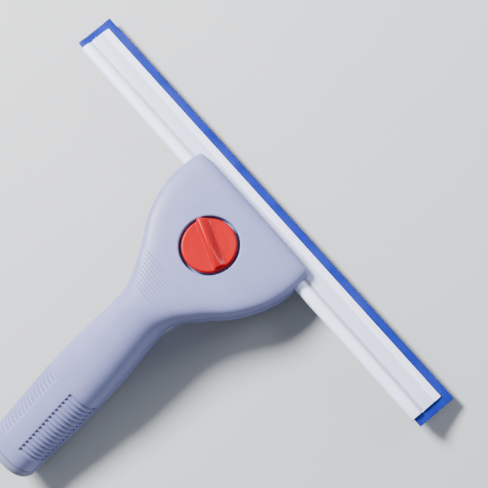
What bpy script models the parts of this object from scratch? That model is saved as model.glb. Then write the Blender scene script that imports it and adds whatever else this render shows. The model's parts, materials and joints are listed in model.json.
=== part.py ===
"""Window squeegee with a clamping head: a two-shell plastic handle, an aluminium channel
that holds a rubber blade, and a clamp knob that grips the channel in the head.

Metres, +Z up. Every piece is modelled in the tool's own frame and hangs from one empty,
tool_frame. In that frame the knob turns about Z, the head's front face is at Z = 0, X runs
along the blade and +Y points from the knob to the blade. At the end the empty is turned and
lifted so that the tool lies on its back on Z = 0.
"""

import math

import bmesh
import bpy
from mathutils import Matrix, Vector

MM = 0.001

# Overall sizes
BLADE_LENGTH = 300 * MM
CHANNEL_LENGTH = 290 * MM
HEAD_WIDTH = 96.4 * MM
HEAD_EDGE_WIDTH = 94 * MM
EDGE_TO_BEND = 64.2 * MM
GRIP_LENGTH = 123 * MM
GRIP_ANGLE = math.radians(25.3)
BEND_RADIUS = 60 * MM

# Handle sections
NECK_WIDTH = 32.4 * MM
GRIP_WIDTH = 37.4 * MM
GRIP_END_WIDTH = 34 * MM
HEAD_FRONT_DEPTH = 10 * MM
GRIP_HALF_DEPTH = 15 * MM
WIDEST_FROM_EDGE = 12.6 * MM
EDGE_ROLL_LENGTH = 6 * MM
EDGE_ROLL_DEPTH = 3.6 * MM
CORNER_RADIUS = 2 * MM
HEAD_SQUARENESS = 5.0
GRIP_SQUARENESS = 2.4
SQUARE_UNTIL = 45 * MM
DEEPENS_PAST_NECK = 8 * MM
WALL = 2.4 * MM
# How the head widens from the neck (0) to its widest (1), and the grip's widths along it
FLARE = ((0, 0), (0.2, 0.1), (0.38, 0.344), (0.54, 0.647), (0.7, 0.855), (0.85, 0.968), (1, 1))
GRIP_WIDTHS = ((0, NECK_WIDTH), (0.36, GRIP_WIDTH), (0.62, GRIP_WIDTH), (1, GRIP_END_WIDTH))
# Places of the first section rings, behind the straight edge, then the steps between rings
EDGE_RINGS = (0, 0.15 * MM, 0.5 * MM, 1.1 * MM, 2 * MM, 3.6 * MM, 5.5 * MM, 8.5 * MM)
HEAD_STEP = 7 * MM
GRIP_STEP = 13 * MM
CLOSE_PAST_NECK = 10 * MM
END_ROOM = 6 * MM
LEAST_STEP = 0.1 * MM

# Channel and rubber blade
CHANNEL_WIDTH = 20.4 * MM
CHANNEL_COVERED = 11.8 * MM
CHANNEL_FACE_DROP = 9.3 * MM
CHANNEL_DEPTH = 4.4 * MM
CHANNEL_WALL = 1.1 * MM
BULB_WIDTH = 7.2 * MM
BULB_RISE = 1.1 * MM
BULB_RADIUS = 2.8 * MM
BULB_CROWN = 2.4 * MM
BULB_SHOULDER = (1.2 * MM, 0.35 * MM)
CHANNEL_CORNER = 1.2 * MM
BEAD_SPACE_PAST_BULB = 0.4 * MM
BEAD_SPACE_SLOPE = 1.4 * MM
BEAD_SPACE_CORNER = 1.2 * MM
SLOT_CORNER = 0.5 * MM
GROOVE_DIP = 0.5 * MM
GROOVE_FROM = 0.6 * MM
GROOVE_UNTIL = 1.6 * MM
LIP_STRIP = 4.5 * MM
LIP_SLOPE = 0.45 * MM
RUBBER_LIP = 4.6 * MM
RUBBER_LIP_THICKNESS = 2.2 * MM
RUBBER_BEAD_WIDTH = 4.2 * MM
RUBBER_BEAD_CORNER = 1 * MM
RUBBER_BEAD_SLOPE = 0.6 * MM
RUBBER_FIT = 0.3 * MM

# Knob, stud and clamp
KNOB_RADIUS = 15.7 * MM
KNOB_FACE_RISE = 0.4 * MM
KNOB_CHAMFER = 0.9 * MM
KNOB_FOOT = 0.8 * MM
KNOB_COVER = 1.2 * MM
RIDGE_HEIGHT = 4.5 * MM
RIDGE_WIDTH = 5.4 * MM
RIDGE_INSET = 0.3 * MM
RIDGE_ROOT = 1 * MM
RIDGE_TURN = math.radians(-20)
# Half section of the ridge: shares of its half width and of its height, from foot to crest
RIDGE_SECTION = ((2.2, 0.02), (1.3, 0.2), (0.85, 0.75), (0.5, 1.0))
RECESS_CLEARANCE = 1.55 * MM
RECESS_DEPTH = 5.0 * MM
RECESS_FLOOR = 2.2 * MM
RECESS_TO_CHANNEL = 1.15 * MM
STUD_RADIUS = 3.0 * MM
STUD_NECK_DEPTH = 0.6 * MM
STUD_LEAD = 0.7 * MM
WASHER_RADIUS = 8 * MM
WASHER_THICKNESS = 0.8 * MM
CLIP_RADIUS = 5.4 * MM
CLIP_THICKNESS = 0.8 * MM
CLIP_MOUTH_SHARE = 0.75
NUT_ACROSS_FLATS = 10 * MM
NUT_HEIGHT = 4.4 * MM
SPRING_RADIUS = 7.4 * MM
SPRING_WIRE = 0.9 * MM
SPRING_TURNS = 2.5
SPRING_SPACE = 4.4 * MM
JAW_PLATE = 3.3 * MM
JAW_TRAVEL = 1.25 * MM
JAW_FLOOR_ROOM = 1.05 * MM
JAW_STEM_WIDTH = 56 * MM
JAW_BACK = 10 * MM
JAW_BOSS_RADIUS = 8.6 * MM
JAW_BOSS_ROOT = 1 * MM
JAW_CHAMFER = 2.3 * MM
JAW_PAD_MARGIN = 1.5 * MM
JAW_SHOULDER_LAP = 1.4 * MM
PAD_LENGTH = 72 * MM
PAD_THICKNESS = 1.2 * MM
PAD_WIDTH = 8.4 * MM
PAD_SETBACK = 1.2 * MM
PAD_LAND_MARGIN = 1 * MM
GUIDE_PIN_RADIUS = 2 * MM
GUIDE_PIN_CHAMFER = 0.4 * MM
GUIDE_PIN_COVER = 2 * MM
GUIDE_PIN_X = 23 * MM
GUIDE_PIN_Y = 10 * MM

# Screws and pole socket
SCREW_HEAD_RADIUS = 3.4 * MM
SCREW_HEAD_HEIGHT = 2.2 * MM
SCREW_RADIUS = 1.75 * MM
SCREW_LENGTH = 14 * MM
SCREW_POINT = 2 * MM
SCREW_POINT_SHARE = 0.3
SCREW_CROWN_SHARE = 0.6
SCREW_TIP_ROOM = 1.5 * MM
BOSS_WALL = 1.6 * MM
SCREW_SIDE_INSET = 11.2 * MM
HEAD_SCREW_Y = 6 * MM
NECK_SCREW_BACK = 62 * MM
GRIP_SCREWS_FROM_END = (94 * MM, 58 * MM)
SOCKET_BORE_RADIUS = 9.6 * MM
SOCKET_WALL = 2.6 * MM
SOCKET_LENGTH = 44 * MM
SOCKET_FLOOR = 3 * MM
SOCKET_MOUTH = 1.2 * MM
COLLAR_LENGTH = 5 * MM
COLLAR_CHAMFER = 1.2 * MM
# The collar's rounded end: (share of the chamfer before the end, share of it inwards)
COLLAR_END = ((1.0, 0.0), (0.3, 0.35), (0.0, 1.0))

GAP = 0.3 * MM
OVERRUN = 10 * MM
ROUND = 40
SMALL_ROUND = 20
CAVITY_ROUND = 28
WIRE_SIDES = 8
HALVINGS = 50

GREY = (0.46, 0.48, 0.62)
LIGHT_GREY = (0.52, 0.53, 0.6)
RED = (0.80, 0.05, 0.04)
WHITE = (0.86, 0.87, 0.93)
BLUE = (0.03, 0.12, 0.55)
STEEL = (0.6, 0.61, 0.63)
BLACK = (0.03, 0.03, 0.035)
DARK_GREY = (0.12, 0.12, 0.13)


# Helpers


def clear_scene():
    for obj in list(bpy.data.objects):
        bpy.data.objects.remove(obj, do_unlink=True)


def material(name, colour, roughness, metallic=0.0):
    mat = bpy.data.materials.new(name)
    mat.use_nodes = True
    shader = mat.node_tree.nodes["Principled BSDF"]
    shader.inputs["Base Color"].default_value = (*colour, 1)
    shader.inputs["Roughness"].default_value = roughness
    shader.inputs["Metallic"].default_value = metallic
    mat.diffuse_color = (*colour, 1)
    return mat


def empty(name, parent=None, location=(0, 0, 0)):
    obj = bpy.data.objects.new(name, None)
    bpy.context.scene.collection.objects.link(obj)
    obj.parent = parent
    obj.location = location
    obj.empty_display_size = 0.02
    return obj


def object_from(name, mesh, parent, mat=None):
    """A piece with its own material, or a hidden cutter where no material is given."""
    obj = bpy.data.objects.new(name, mesh)
    bpy.context.scene.collection.objects.link(obj)
    obj.parent = parent
    if mat:
        if not mesh.materials:
            mesh.materials.append(mat)
    else:
        obj.hide_render = True
        obj.display_type = "WIRE"
    return obj


def mesh_from(bm, name):
    bmesh.ops.recalc_face_normals(bm, faces=bm.faces)
    mesh = bpy.data.meshes.new(name)
    bm.to_mesh(mesh)
    bm.free()
    mesh.shade_smooth()
    mesh.set_sharp_from_angle(angle=math.radians(35))
    return mesh


def loft(name, rings):
    """A closed solid through rings of points, with a flat face on each end."""
    bm = bmesh.new()
    rows = [[bm.verts.new(p) for p in ring] for ring in rings]
    count = len(rows[0])
    for first, second in zip(rows, rows[1:]):
        for i in range(count):
            j = (i + 1) % count
            bm.faces.new((first[i], first[j], second[j], second[i]))
    bm.faces.new(rows[0])
    bm.faces.new(rows[-1])
    return mesh_from(bm, name)


def prism(name, outline, low, high, axis="x"):
    """A closed solid of one outline, along X for (y, z) points or along Z for (x, y) points."""
    if axis == "x":
        rings = [[Vector((x, y, z)) for y, z in outline] for x in (low, high)]
    else:
        rings = [[Vector((x, y, z)) for x, y in outline] for z in (low, high)]
    return loft(name, rings)


def turned(name, profile, steps=ROUND):
    """A solid turned about Z from (radius, z) points, both ends on flat faces."""
    angles = [2 * math.pi * i / steps for i in range(steps)]
    rings = [[Vector((r * math.cos(a), r * math.sin(a), z)) for a in angles] for r, z in profile]
    return loft(name, rings)


def box(name, low, high):
    x0, y0, z0 = low
    x1, y1, z1 = high
    return prism(name, [(x0, y0), (x1, y0), (x1, y1), (x0, y1)], z0, z1, "z")


def boolean(obj, other, operation="DIFFERENCE"):
    modifier = obj.modifiers.new(other.name, "BOOLEAN")
    modifier.operation = operation
    modifier.object = other
    modifier.solver = "EXACT"


def smooth_curve(points, x):
    """A smooth line through (x, y) points, flat at both ends."""
    if x <= points[0][0]:
        return points[0][1]
    if x >= points[-1][0]:
        return points[-1][1]
    slopes = [0.0]
    for before, after in zip(points, points[2:]):
        slopes.append((after[1] - before[1]) / (after[0] - before[0]))
    slopes.append(0.0)
    i = max(k for k in range(len(points) - 1) if points[k][0] <= x)
    (x0, y0), (x1, y1) = points[i], points[i + 1]
    span = x1 - x0
    t = (x - x0) / span
    start = (2 * t**3 - 3 * t**2 + 1) * y0 + (t**3 - 2 * t**2 + t) * span * slopes[i]
    end = (3 * t**2 - 2 * t**3) * y1 + (t**3 - t**2) * span * slopes[i + 1]
    return start + end


def ease(x, low, high):
    t = min(max((x - low) / (high - low), 0.0), 1.0)
    return t * t * (3 - 2 * t)


# Levels that the clamp's pieces share, in the tool's frame

CHANNEL_BACK_Y = KNOB_RADIUS + RECESS_CLEARANCE + WALL + RECESS_TO_CHANNEL
KNOB_TO_EDGE = CHANNEL_BACK_Y + CHANNEL_COVERED
CHANNEL_LIP_Y = CHANNEL_BACK_Y + CHANNEL_WIDTH
BULB_TOP = -CHANNEL_FACE_DROP + BULB_RISE
CHANNEL_REAR = -CHANNEL_FACE_DROP - CHANNEL_DEPTH
SLOT_TOP = -CHANNEL_FACE_DROP - CHANNEL_WALL
SLOT_FLOOR = CHANNEL_REAR + CHANNEL_WALL
FRONT_PAD_LOW = BULB_TOP + GAP
FRONT_PAD_HIGH = FRONT_PAD_LOW + PAD_THICKNESS
REAR_PAD_HIGH = CHANNEL_REAR - GAP
REAR_PAD_LOW = REAR_PAD_HIGH - PAD_THICKNESS
JAW_TOP = REAR_PAD_LOW - GAP
JAW_BOTTOM = JAW_TOP - JAW_PLATE
HEAD_REAR_DEPTH = -(JAW_BOTTOM - JAW_TRAVEL - JAW_FLOOR_ROOM - WALL) - HEAD_FRONT_DEPTH
PAD_BACK_Y = CHANNEL_BACK_Y + PAD_SETBACK
RECESS_BOTTOM = -RECESS_DEPTH - RECESS_FLOOR
WASHER_LOW = -RECESS_DEPTH + GAP
KNOB_LOW = WASHER_LOW + WASHER_THICKNESS + GAP
CLIP_HIGH = RECESS_BOTTOM - GAP
BOSS_TOP = RECESS_BOTTOM - 2 * GAP - SPRING_SPACE
STUD_LOW = JAW_BOTTOM - JAW_TRAVEL
GUIDE_PIN_HIGH = -WALL - GUIDE_PIN_COVER
GUIDE_PIN_LOW = JAW_BOTTOM - JAW_TRAVEL
STUD_TOP = KNOB_FACE_RISE - KNOB_COVER

# The handle's shape

BEND_LENGTH = BEND_RADIUS * GRIP_ANGLE
NECK_AT = EDGE_TO_BEND + BEND_LENGTH
HANDLE_END = NECK_AT + GRIP_LENGTH
SHELL_END = HANDLE_END - COLLAR_LENGTH
DEEPENS_FROM = EDGE_TO_BEND / 2


def spine(s):
    """The front face's centre line, s behind the head's straight edge, and its slope there."""
    bend = min(max((s - EDGE_TO_BEND) / BEND_RADIUS, 0.0), GRIP_ANGLE)
    straight = min(s, EDGE_TO_BEND)
    grip = max(s - NECK_AT, 0.0)
    y = KNOB_TO_EDGE - straight - BEND_RADIUS * math.sin(bend) - grip * math.cos(bend)
    z = -BEND_RADIUS * (1 - math.cos(bend)) - grip * math.sin(bend)
    return Vector((0, y, z)), bend


def half_width(s):
    if s < WIDEST_FROM_EDGE:
        inward = (WIDEST_FROM_EDGE - s) / WIDEST_FROM_EDGE
        width = HEAD_WIDTH / 2 - (HEAD_WIDTH - HEAD_EDGE_WIDTH) / 2 * inward**2
        corner = max(CORNER_RADIUS - s, 0.0)
        return width - CORNER_RADIUS + math.sqrt(CORNER_RADIUS**2 - corner**2)
    if s < NECK_AT:
        share = smooth_curve(FLARE, (NECK_AT - s) / (NECK_AT - WIDEST_FROM_EDGE))
        return (NECK_WIDTH + (HEAD_WIDTH - NECK_WIDTH) * share) / 2
    return smooth_curve(GRIP_WIDTHS, (s - NECK_AT) / GRIP_LENGTH) / 2


def edge_roll(s):
    """How far the front face rolls down towards the straight edge."""
    inward = min(max((EDGE_ROLL_LENGTH - s) / EDGE_ROLL_LENGTH, 0.0), 1.0)
    return EDGE_ROLL_DEPTH * (1 - math.sqrt(1 - inward**2))


def depths(s):
    """Front and rear depth of the section from the parting plane."""
    grip = ease(s, DEEPENS_FROM, NECK_AT + DEEPENS_PAST_NECK)
    front = HEAD_FRONT_DEPTH + (GRIP_HALF_DEPTH - HEAD_FRONT_DEPTH) * grip
    rear = HEAD_REAR_DEPTH + (GRIP_HALF_DEPTH - HEAD_REAR_DEPTH) * grip
    return front, rear


def place(s, x, up):
    """The point x across and up from the parting plane of the section at s."""
    origin, bend = spine(s)
    normal = Vector((0, -math.sin(bend), math.cos(bend)))
    return origin + Vector((x, 0, 0)) + normal * (up - depths(s)[0])


def section(s, steps, half=None, inset=0.0):
    """One ring of the handle. half is 1 for the front half, -1 for the rear one."""
    front, rear = depths(s)
    roll = edge_roll(s)
    front -= roll + inset
    rear -= roll + inset
    width = half_width(s) - inset
    rounder = ease(s, SQUARE_UNTIL, NECK_AT)
    power = HEAD_SQUARENESS + (GRIP_SQUARENESS - HEAD_SQUARENESS) * rounder
    ring = []
    arc = math.pi if half else 2 * math.pi
    for i in range(steps + 1 if half else steps):
        angle = arc * i / steps
        across = math.copysign(abs(math.cos(angle)) ** (2 / power), math.cos(angle)) * width
        rise = abs(math.sin(angle)) ** (2 / power)
        if half:
            depth = front if half > 0 else rear
            up = half * (GAP / 2 + (depth - GAP / 2) * rise)
        else:
            up = math.copysign(rise, math.sin(angle)) * (front if angle <= math.pi else rear)
        ring.append(place(s, across, up))
    return ring


def stations(first, last):
    """Places of the rings: close where the outline turns, wide along the grip."""
    found = list(EDGE_RINGS)
    s = WIDEST_FROM_EDGE
    while s < NECK_AT + CLOSE_PAST_NECK:
        found.append(s)
        s += HEAD_STEP
    while s < last - END_ROOM:
        found.append(s)
        s += GRIP_STEP
    return [first] + [s for s in found if first + LEAST_STEP < s < last - LEAST_STEP] + [last]


# Outlines of the channel and the rubber, as (y, z) points


def quarter(y, z, radius, which, steps):
    """Points of a quarter circle: 0 starts at +Y, 1 at +Z, 2 at -Y, 3 at -Z."""
    angles = [math.pi / 2 * (which + i / steps) for i in range(steps + 1)]
    return [(y + radius * math.cos(a), z + radius * math.sin(a)) for a in angles]


def channel_outline(grow=0.0):
    """Outer outline of the channel's section, going round from the lip's front corner."""
    face = -CHANNEL_FACE_DROP + grow
    back = CHANNEL_BACK_Y - grow
    top = BULB_TOP + grow
    rear = CHANNEL_REAR - grow
    bulb_end = CHANNEL_BACK_Y + BULB_WIDTH
    points = [(CHANNEL_LIP_Y + grow, face - LIP_SLOPE)]
    points.append((CHANNEL_LIP_Y - LIP_STRIP, face))
    points.append((bulb_end + GROOVE_UNTIL, face))
    points.append((bulb_end + GROOVE_FROM, face - GROOVE_DIP))
    points.append((bulb_end, face - GROOVE_DIP / 2))
    points.append((bulb_end - BULB_SHOULDER[0], top - BULB_SHOULDER[1]))
    points.append((bulb_end - BULB_CROWN, top))
    points += quarter(back + BULB_RADIUS, top - BULB_RADIUS, BULB_RADIUS, 1, 6)
    points += quarter(back + CHANNEL_CORNER, rear + CHANNEL_CORNER, CHANNEL_CORNER, 2, 3)
    points.append((CHANNEL_LIP_Y + grow, rear))
    return points


def channel_hollow():
    """Outline of the slot and bead space inside the channel, open past the lip."""
    web_end = CHANNEL_BACK_Y + BULB_WIDTH + BEAD_SPACE_PAST_BULB
    back = CHANNEL_BACK_Y + CHANNEL_WALL
    high = BULB_TOP - CHANNEL_WALL
    out = CHANNEL_LIP_Y + OVERRUN
    return [
        (out, SLOT_TOP),
        (web_end, SLOT_TOP),
        (web_end - BEAD_SPACE_SLOPE, high),
        (back + BEAD_SPACE_CORNER, high),
        (back, high - BEAD_SPACE_CORNER),
        (back, SLOT_FLOOR + SLOT_CORNER),
        (back + SLOT_CORNER, SLOT_FLOOR),
        (out, SLOT_FLOOR),
    ]


def rubber_outline():
    """Outline of the blade: a bead in the bulb, a web in the slot and a square lip."""
    back = CHANNEL_BACK_Y + CHANNEL_WALL + RUBBER_FIT
    bead_end = back + RUBBER_BEAD_WIDTH
    bead_top = BULB_TOP - CHANNEL_WALL - RUBBER_FIT
    low = SLOT_FLOOR + RUBBER_FIT
    web_top = SLOT_TOP - RUBBER_FIT
    middle = (SLOT_TOP + SLOT_FLOOR) / 2
    lip_start = CHANNEL_LIP_Y + GAP
    edge = CHANNEL_LIP_Y + RUBBER_LIP
    return [
        (edge, middle + RUBBER_LIP_THICKNESS / 2),
        (lip_start, middle + RUBBER_LIP_THICKNESS / 2),
        (lip_start, web_top),
        (bead_end, web_top),
        (bead_end - RUBBER_BEAD_SLOPE, bead_top),
        (back + RUBBER_BEAD_CORNER, bead_top),
        (back, bead_top - RUBBER_BEAD_CORNER),
        (back, low + SLOT_CORNER),
        (back + SLOT_CORNER, low),
        (lip_start, low),
        (lip_start, middle - RUBBER_LIP_THICKNESS / 2),
        (edge, middle - RUBBER_LIP_THICKNESS / 2),
    ]


# The handle's shells


def screw_posts():
    """(name, distance behind the edge, x) of every screw that joins the shells."""
    side = HEAD_WIDTH / 2 - SCREW_SIDE_INSET
    beside = KNOB_TO_EDGE - HEAD_SCREW_Y
    posts = [("head_screw_left", beside, -side), ("head_screw_right", beside, side)]
    posts.append(("neck_screw", NECK_SCREW_BACK, 0.0))
    for name, back in zip(("grip_screw_upper", "grip_screw_lower"), GRIP_SCREWS_FROM_END):
        posts.append((name, HANDLE_END - back, 0.0))
    return posts


def post_frame(s, x):
    """The screw's frame: its origin on the parting plane, Z out of the front face."""
    bend = spine(s)[1]
    return Matrix.Translation(place(s, x, 0)) @ Matrix.Rotation(bend, 4, "X")


def seat_level(s):
    """Height of the face under a screw's head, from the parting plane."""
    return depths(s)[0] - WALL - SCREW_TIP_ROOM - SCREW_LENGTH


def cylinder(name, radius, low, high, parent, frame=None, steps=SMALL_ROUND):
    cutter = object_from(name, turned(name, [(radius, low), (radius, high)], steps), parent)
    if frame:
        cutter.matrix_local = frame
    return cutter


def handle_solid(name, half, parent, mat):
    rings = [section(s, SMALL_ROUND, half) for s in stations(0.0, SHELL_END)]
    return object_from(name, loft(name, rings), parent, mat)


def handle_cavity(name, parent):
    rings = [section(s, CAVITY_ROUND, None, WALL) for s in stations(WALL, SHELL_END)]
    rings.append([p + (rings[-1][i] - rings[-2][i]) for i, p in enumerate(rings[-1])])
    return object_from(name, loft(name, rings), parent)


def channel_pass(parent):
    """Cutter of the way for the channel, right through the head and out of its edge."""
    clear = 2 * GAP
    outline = channel_outline(clear)
    reach = [(CHANNEL_LIP_Y + OVERRUN, -CHANNEL_FACE_DROP + clear)]
    reach += outline[1:-1]
    reach.append((CHANNEL_LIP_Y + OVERRUN, CHANNEL_REAR - clear))
    length = HEAD_WIDTH / 2 + OVERRUN
    return object_from("channel_pass", prism("channel_pass", reach, -length, length), parent)


def front_shell(parent, passage, mat):
    shell = handle_solid("front_shell", 1, parent, mat)
    cavity = handle_cavity("front_cavity", parent)
    recess = KNOB_RADIUS + RECESS_CLEARANCE
    cup = cylinder("recess_cup", recess + WALL, RECESS_BOTTOM, OVERRUN, parent, None, ROUND)
    boolean(cavity, cup)
    half_land = PAD_LENGTH / 2 + PAD_LAND_MARGIN
    land_low = (-half_land, PAD_BACK_Y, FRONT_PAD_HIGH + GAP)
    land_high = (half_land, KNOB_TO_EDGE, OVERRUN)
    boolean(cavity, object_from("pad_land", box("pad_land", land_low, land_high), parent))
    for side in (-1, 1):
        frame = Matrix.Translation((side * GUIDE_PIN_X, GUIDE_PIN_Y, 0))
        radius = GUIDE_PIN_RADIUS + GAP + BOSS_WALL
        boss = cylinder(f"pin_boss_{side}", radius, BOSS_TOP + GAP, OVERRUN, parent, frame)
        boolean(cavity, boss)
    for name, s, x in screw_posts():
        radius = SCREW_RADIUS + GAP + BOSS_WALL
        frame = post_frame(s, x)
        high = depths(s)[0] + OVERRUN
        boolean(cavity, cylinder(name + "_front_boss", radius, -OVERRUN, high, parent, frame))
    boolean(shell, cavity)
    boolean(shell, passage)
    hole = cylinder("recess_cut", recess, -RECESS_DEPTH, OVERRUN, parent, None, ROUND)
    boolean(shell, hole)
    boolean(shell, cylinder("stud_hole", STUD_RADIUS + GAP, -2 * OVERRUN, 0, parent))
    for side in (-1, 1):
        frame = Matrix.Translation((side * GUIDE_PIN_X, GUIDE_PIN_Y, 0))
        radius = GUIDE_PIN_RADIUS + GAP
        high = GUIDE_PIN_HIGH + GAP
        boolean(shell, cylinder(f"pin_hole_{side}", radius, -2 * OVERRUN, high, parent, frame))
    for name, s, x in screw_posts():
        tip = seat_level(s) + SCREW_LENGTH + GAP
        frame = post_frame(s, x)
        radius = SCREW_RADIUS + GAP
        boolean(shell, cylinder(name + "_thread", radius, -OVERRUN, tip, parent, frame))
    return shell


def rear_shell(parent, passage, mat):
    shell = handle_solid("rear_shell", -1, parent, mat)
    cavity = handle_cavity("rear_cavity", parent)
    for name, s, x in screw_posts():
        radius = SCREW_HEAD_RADIUS + GAP + BOSS_WALL
        low = -depths(s)[1] - OVERRUN
        frame = post_frame(s, x)
        boolean(cavity, cylinder(name + "_rear_boss", radius, low, OVERRUN, parent, frame))
    boolean(shell, cavity)
    boolean(shell, passage)
    for name, s, x in screw_posts():
        seat = seat_level(s)
        frame = post_frame(s, x)
        low = -depths(s)[1] - OVERRUN
        radius = SCREW_HEAD_RADIUS + GAP
        boolean(shell, cylinder(name + "_pocket", radius, low, seat - GAP, parent, frame))
        boolean(shell, cylinder(name + "_way", SCREW_RADIUS + GAP, low, OVERRUN, parent, frame))
    return shell


def shell_screws(parent, mat):
    """Pan-head screws put in from the rear, all of one mesh."""
    profile = [
        (SCREW_POINT_SHARE * SCREW_RADIUS, SCREW_LENGTH),
        (SCREW_RADIUS, SCREW_LENGTH - SCREW_POINT),
        (SCREW_RADIUS, 0.0),
        (SCREW_HEAD_RADIUS, 0.0),
        (SCREW_HEAD_RADIUS, -SCREW_HEAD_HEIGHT / 2),
        (SCREW_CROWN_SHARE * SCREW_HEAD_RADIUS, -SCREW_HEAD_HEIGHT),
    ]
    mesh = turned("shell_screw", profile, SMALL_ROUND)
    for name, s, x in screw_posts():
        screw = object_from(name, mesh, parent, mat)
        seat = Matrix.Translation((0, 0, seat_level(s) - 2 * GAP))
        screw.matrix_local = post_frame(s, x) @ seat


def pole_socket(parent, mat):
    """Insert in the grip's end: a tube between the shells and a collar that closes them."""
    frame = post_frame(HANDLE_END, 0) @ Matrix.Rotation(-math.pi / 2, 4, "X")
    outer = SOCKET_BORE_RADIUS + SOCKET_WALL
    rings = [section(SHELL_END + GAP, ROUND)]
    for before, inwards in COLLAR_END:
        s = HANDLE_END - before * COLLAR_CHAMFER
        rings.append(section(s, ROUND, None, inwards * COLLAR_CHAMFER))
    socket = object_from("pole_socket", loft("pole_socket", rings), parent, mat)
    tube = turned("socket_tube", [(outer, COLLAR_LENGTH / 2), (outer, SOCKET_LENGTH)], ROUND)
    tube_object = object_from("socket_tube", tube, parent)
    tube_object.matrix_local = frame
    boolean(socket, tube_object, "UNION")
    depth = SOCKET_LENGTH - SOCKET_FLOOR
    bore_profile = [
        (SOCKET_BORE_RADIUS + SOCKET_MOUTH, -OVERRUN),
        (SOCKET_BORE_RADIUS + SOCKET_MOUTH, 0.0),
        (SOCKET_BORE_RADIUS, SOCKET_MOUTH),
        (SOCKET_BORE_RADIUS, depth),
    ]
    bore = object_from("socket_bore", turned("socket_bore", bore_profile, ROUND), parent)
    bore.matrix_local = frame
    boolean(socket, bore)
    return socket


# The clamp


def knob_ridge(parent):
    """Bar across the knob's face: a rounded crest on concave flanks, trimmed to the knob."""
    rim = KNOB_FACE_RISE
    flank = RIDGE_WIDTH / 2
    root = (RIDGE_SECTION[0][0] * flank, rim - RIDGE_ROOT)
    side = [root] + [(out * flank, rim + up * RIDGE_HEIGHT) for out, up in RIDGE_SECTION]
    outline = [(-y, z) for y, z in side] + side[::-1]
    bar = prism("knob_ridge", outline, -KNOB_RADIUS, KNOB_RADIUS)
    ridge = object_from("knob_ridge", bar, parent)
    ridge.rotation_euler.z = RIDGE_TURN
    reach = KNOB_RADIUS - RIDGE_INSET
    boolean(ridge, cylinder("ridge_ends", reach, -OVERRUN, OVERRUN, parent, None, ROUND), "INTERSECT")
    return ridge


def clamp_knob(parent, mat):
    """Round knob with a ridge for the fingers. Its stud stands in a blind hole from below."""
    profile = [
        (KNOB_RADIUS - KNOB_FOOT, KNOB_LOW),
        (KNOB_RADIUS, KNOB_LOW + KNOB_FOOT),
        (KNOB_RADIUS, KNOB_FACE_RISE - KNOB_CHAMFER),
        (KNOB_RADIUS - KNOB_CHAMFER, KNOB_FACE_RISE),
    ]
    knob = object_from("clamp_knob", turned("clamp_knob", profile), parent, mat)
    boolean(knob, knob_ridge(parent), "UNION")
    boolean(knob, cylinder("stud_socket", STUD_RADIUS + GAP, -OVERRUN, STUD_TOP + GAP, parent))
    return knob


def clamp_stud(parent, mat):
    """Threaded stud fixed in the knob, with a neck that the clip snaps into."""
    neck = STUD_RADIUS - STUD_NECK_DEPTH
    profile = [
        (STUD_RADIUS, STUD_TOP),
        (STUD_RADIUS, CLIP_HIGH + GAP),
        (neck, CLIP_HIGH + GAP),
        (neck, CLIP_HIGH - CLIP_THICKNESS - GAP),
        (STUD_RADIUS, CLIP_HIGH - CLIP_THICKNESS - GAP),
        (STUD_RADIUS, STUD_LOW + STUD_LEAD),
        (STUD_RADIUS - STUD_LEAD, STUD_LOW),
    ]
    return object_from("clamp_stud", turned("clamp_stud", profile, SMALL_ROUND), parent, mat)


def ring_solid(name, inner, outer, low, high, parent, mat, steps=ROUND):
    ring = object_from(name, turned(name, [(outer, low), (outer, high)], steps), parent, mat)
    boolean(ring, cylinder(name + "_hole", inner, low - OVERRUN, high + OVERRUN, parent))
    return ring


def knob_washer(parent, mat):
    high = WASHER_LOW + WASHER_THICKNESS
    ring_solid("knob_washer", STUD_RADIUS + GAP, WASHER_RADIUS, WASHER_LOW, high, parent, mat)


def retaining_clip(parent, mat):
    """E-clip: a flat ring with a mouth towards the blade."""
    inner = STUD_RADIUS - STUD_NECK_DEPTH + GAP
    low = CLIP_HIGH - CLIP_THICKNESS
    clip = ring_solid("retaining_clip", inner, CLIP_RADIUS, low, CLIP_HIGH, parent, mat)
    half_mouth = CLIP_MOUTH_SHARE * inner
    mouth = box("clip_mouth", (-half_mouth, 0, low - GAP), (half_mouth, OVERRUN, CLIP_HIGH + GAP))
    boolean(clip, object_from("clip_mouth", mouth, parent))
    return clip


def clamp_nut(parent, mat):
    corner = NUT_ACROSS_FLATS / math.sqrt(3)
    outline = [(corner * math.cos(a), corner * math.sin(a)) for a in hexagon_angles()]
    low = JAW_BOTTOM
    nut = prism("clamp_nut", outline, low, low + NUT_HEIGHT, "z")
    nut_object = object_from("clamp_nut", nut, parent, mat)
    hole = cylinder("nut_hole", STUD_RADIUS + GAP, low - OVERRUN, 0, parent)
    boolean(nut_object, hole)
    return nut_object


def hexagon_angles():
    return [math.pi / 3 * i for i in range(6)]


def jaw_ring(level, chamfer):
    """Outline of the jaw plate at one height. The chamfer clears the shell's rounded corners."""
    half_bar = PAD_LENGTH / 2 + JAW_PAD_MARGIN
    half_stem = JAW_STEM_WIDTH / 2
    shoulder = CHANNEL_BACK_Y - JAW_SHOULDER_LAP
    front = KNOB_TO_EDGE - WALL - 2 * GAP
    outline = [
        (-half_stem, -JAW_BACK),
        (half_stem, -JAW_BACK),
        (half_stem, shoulder),
        (half_bar - chamfer, shoulder),
        (half_bar - chamfer, front - chamfer),
        (chamfer - half_bar, front - chamfer),
        (chamfer - half_bar, shoulder),
        (-half_stem, shoulder),
    ]
    return [Vector((x, y, level)) for x, y in outline]


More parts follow.
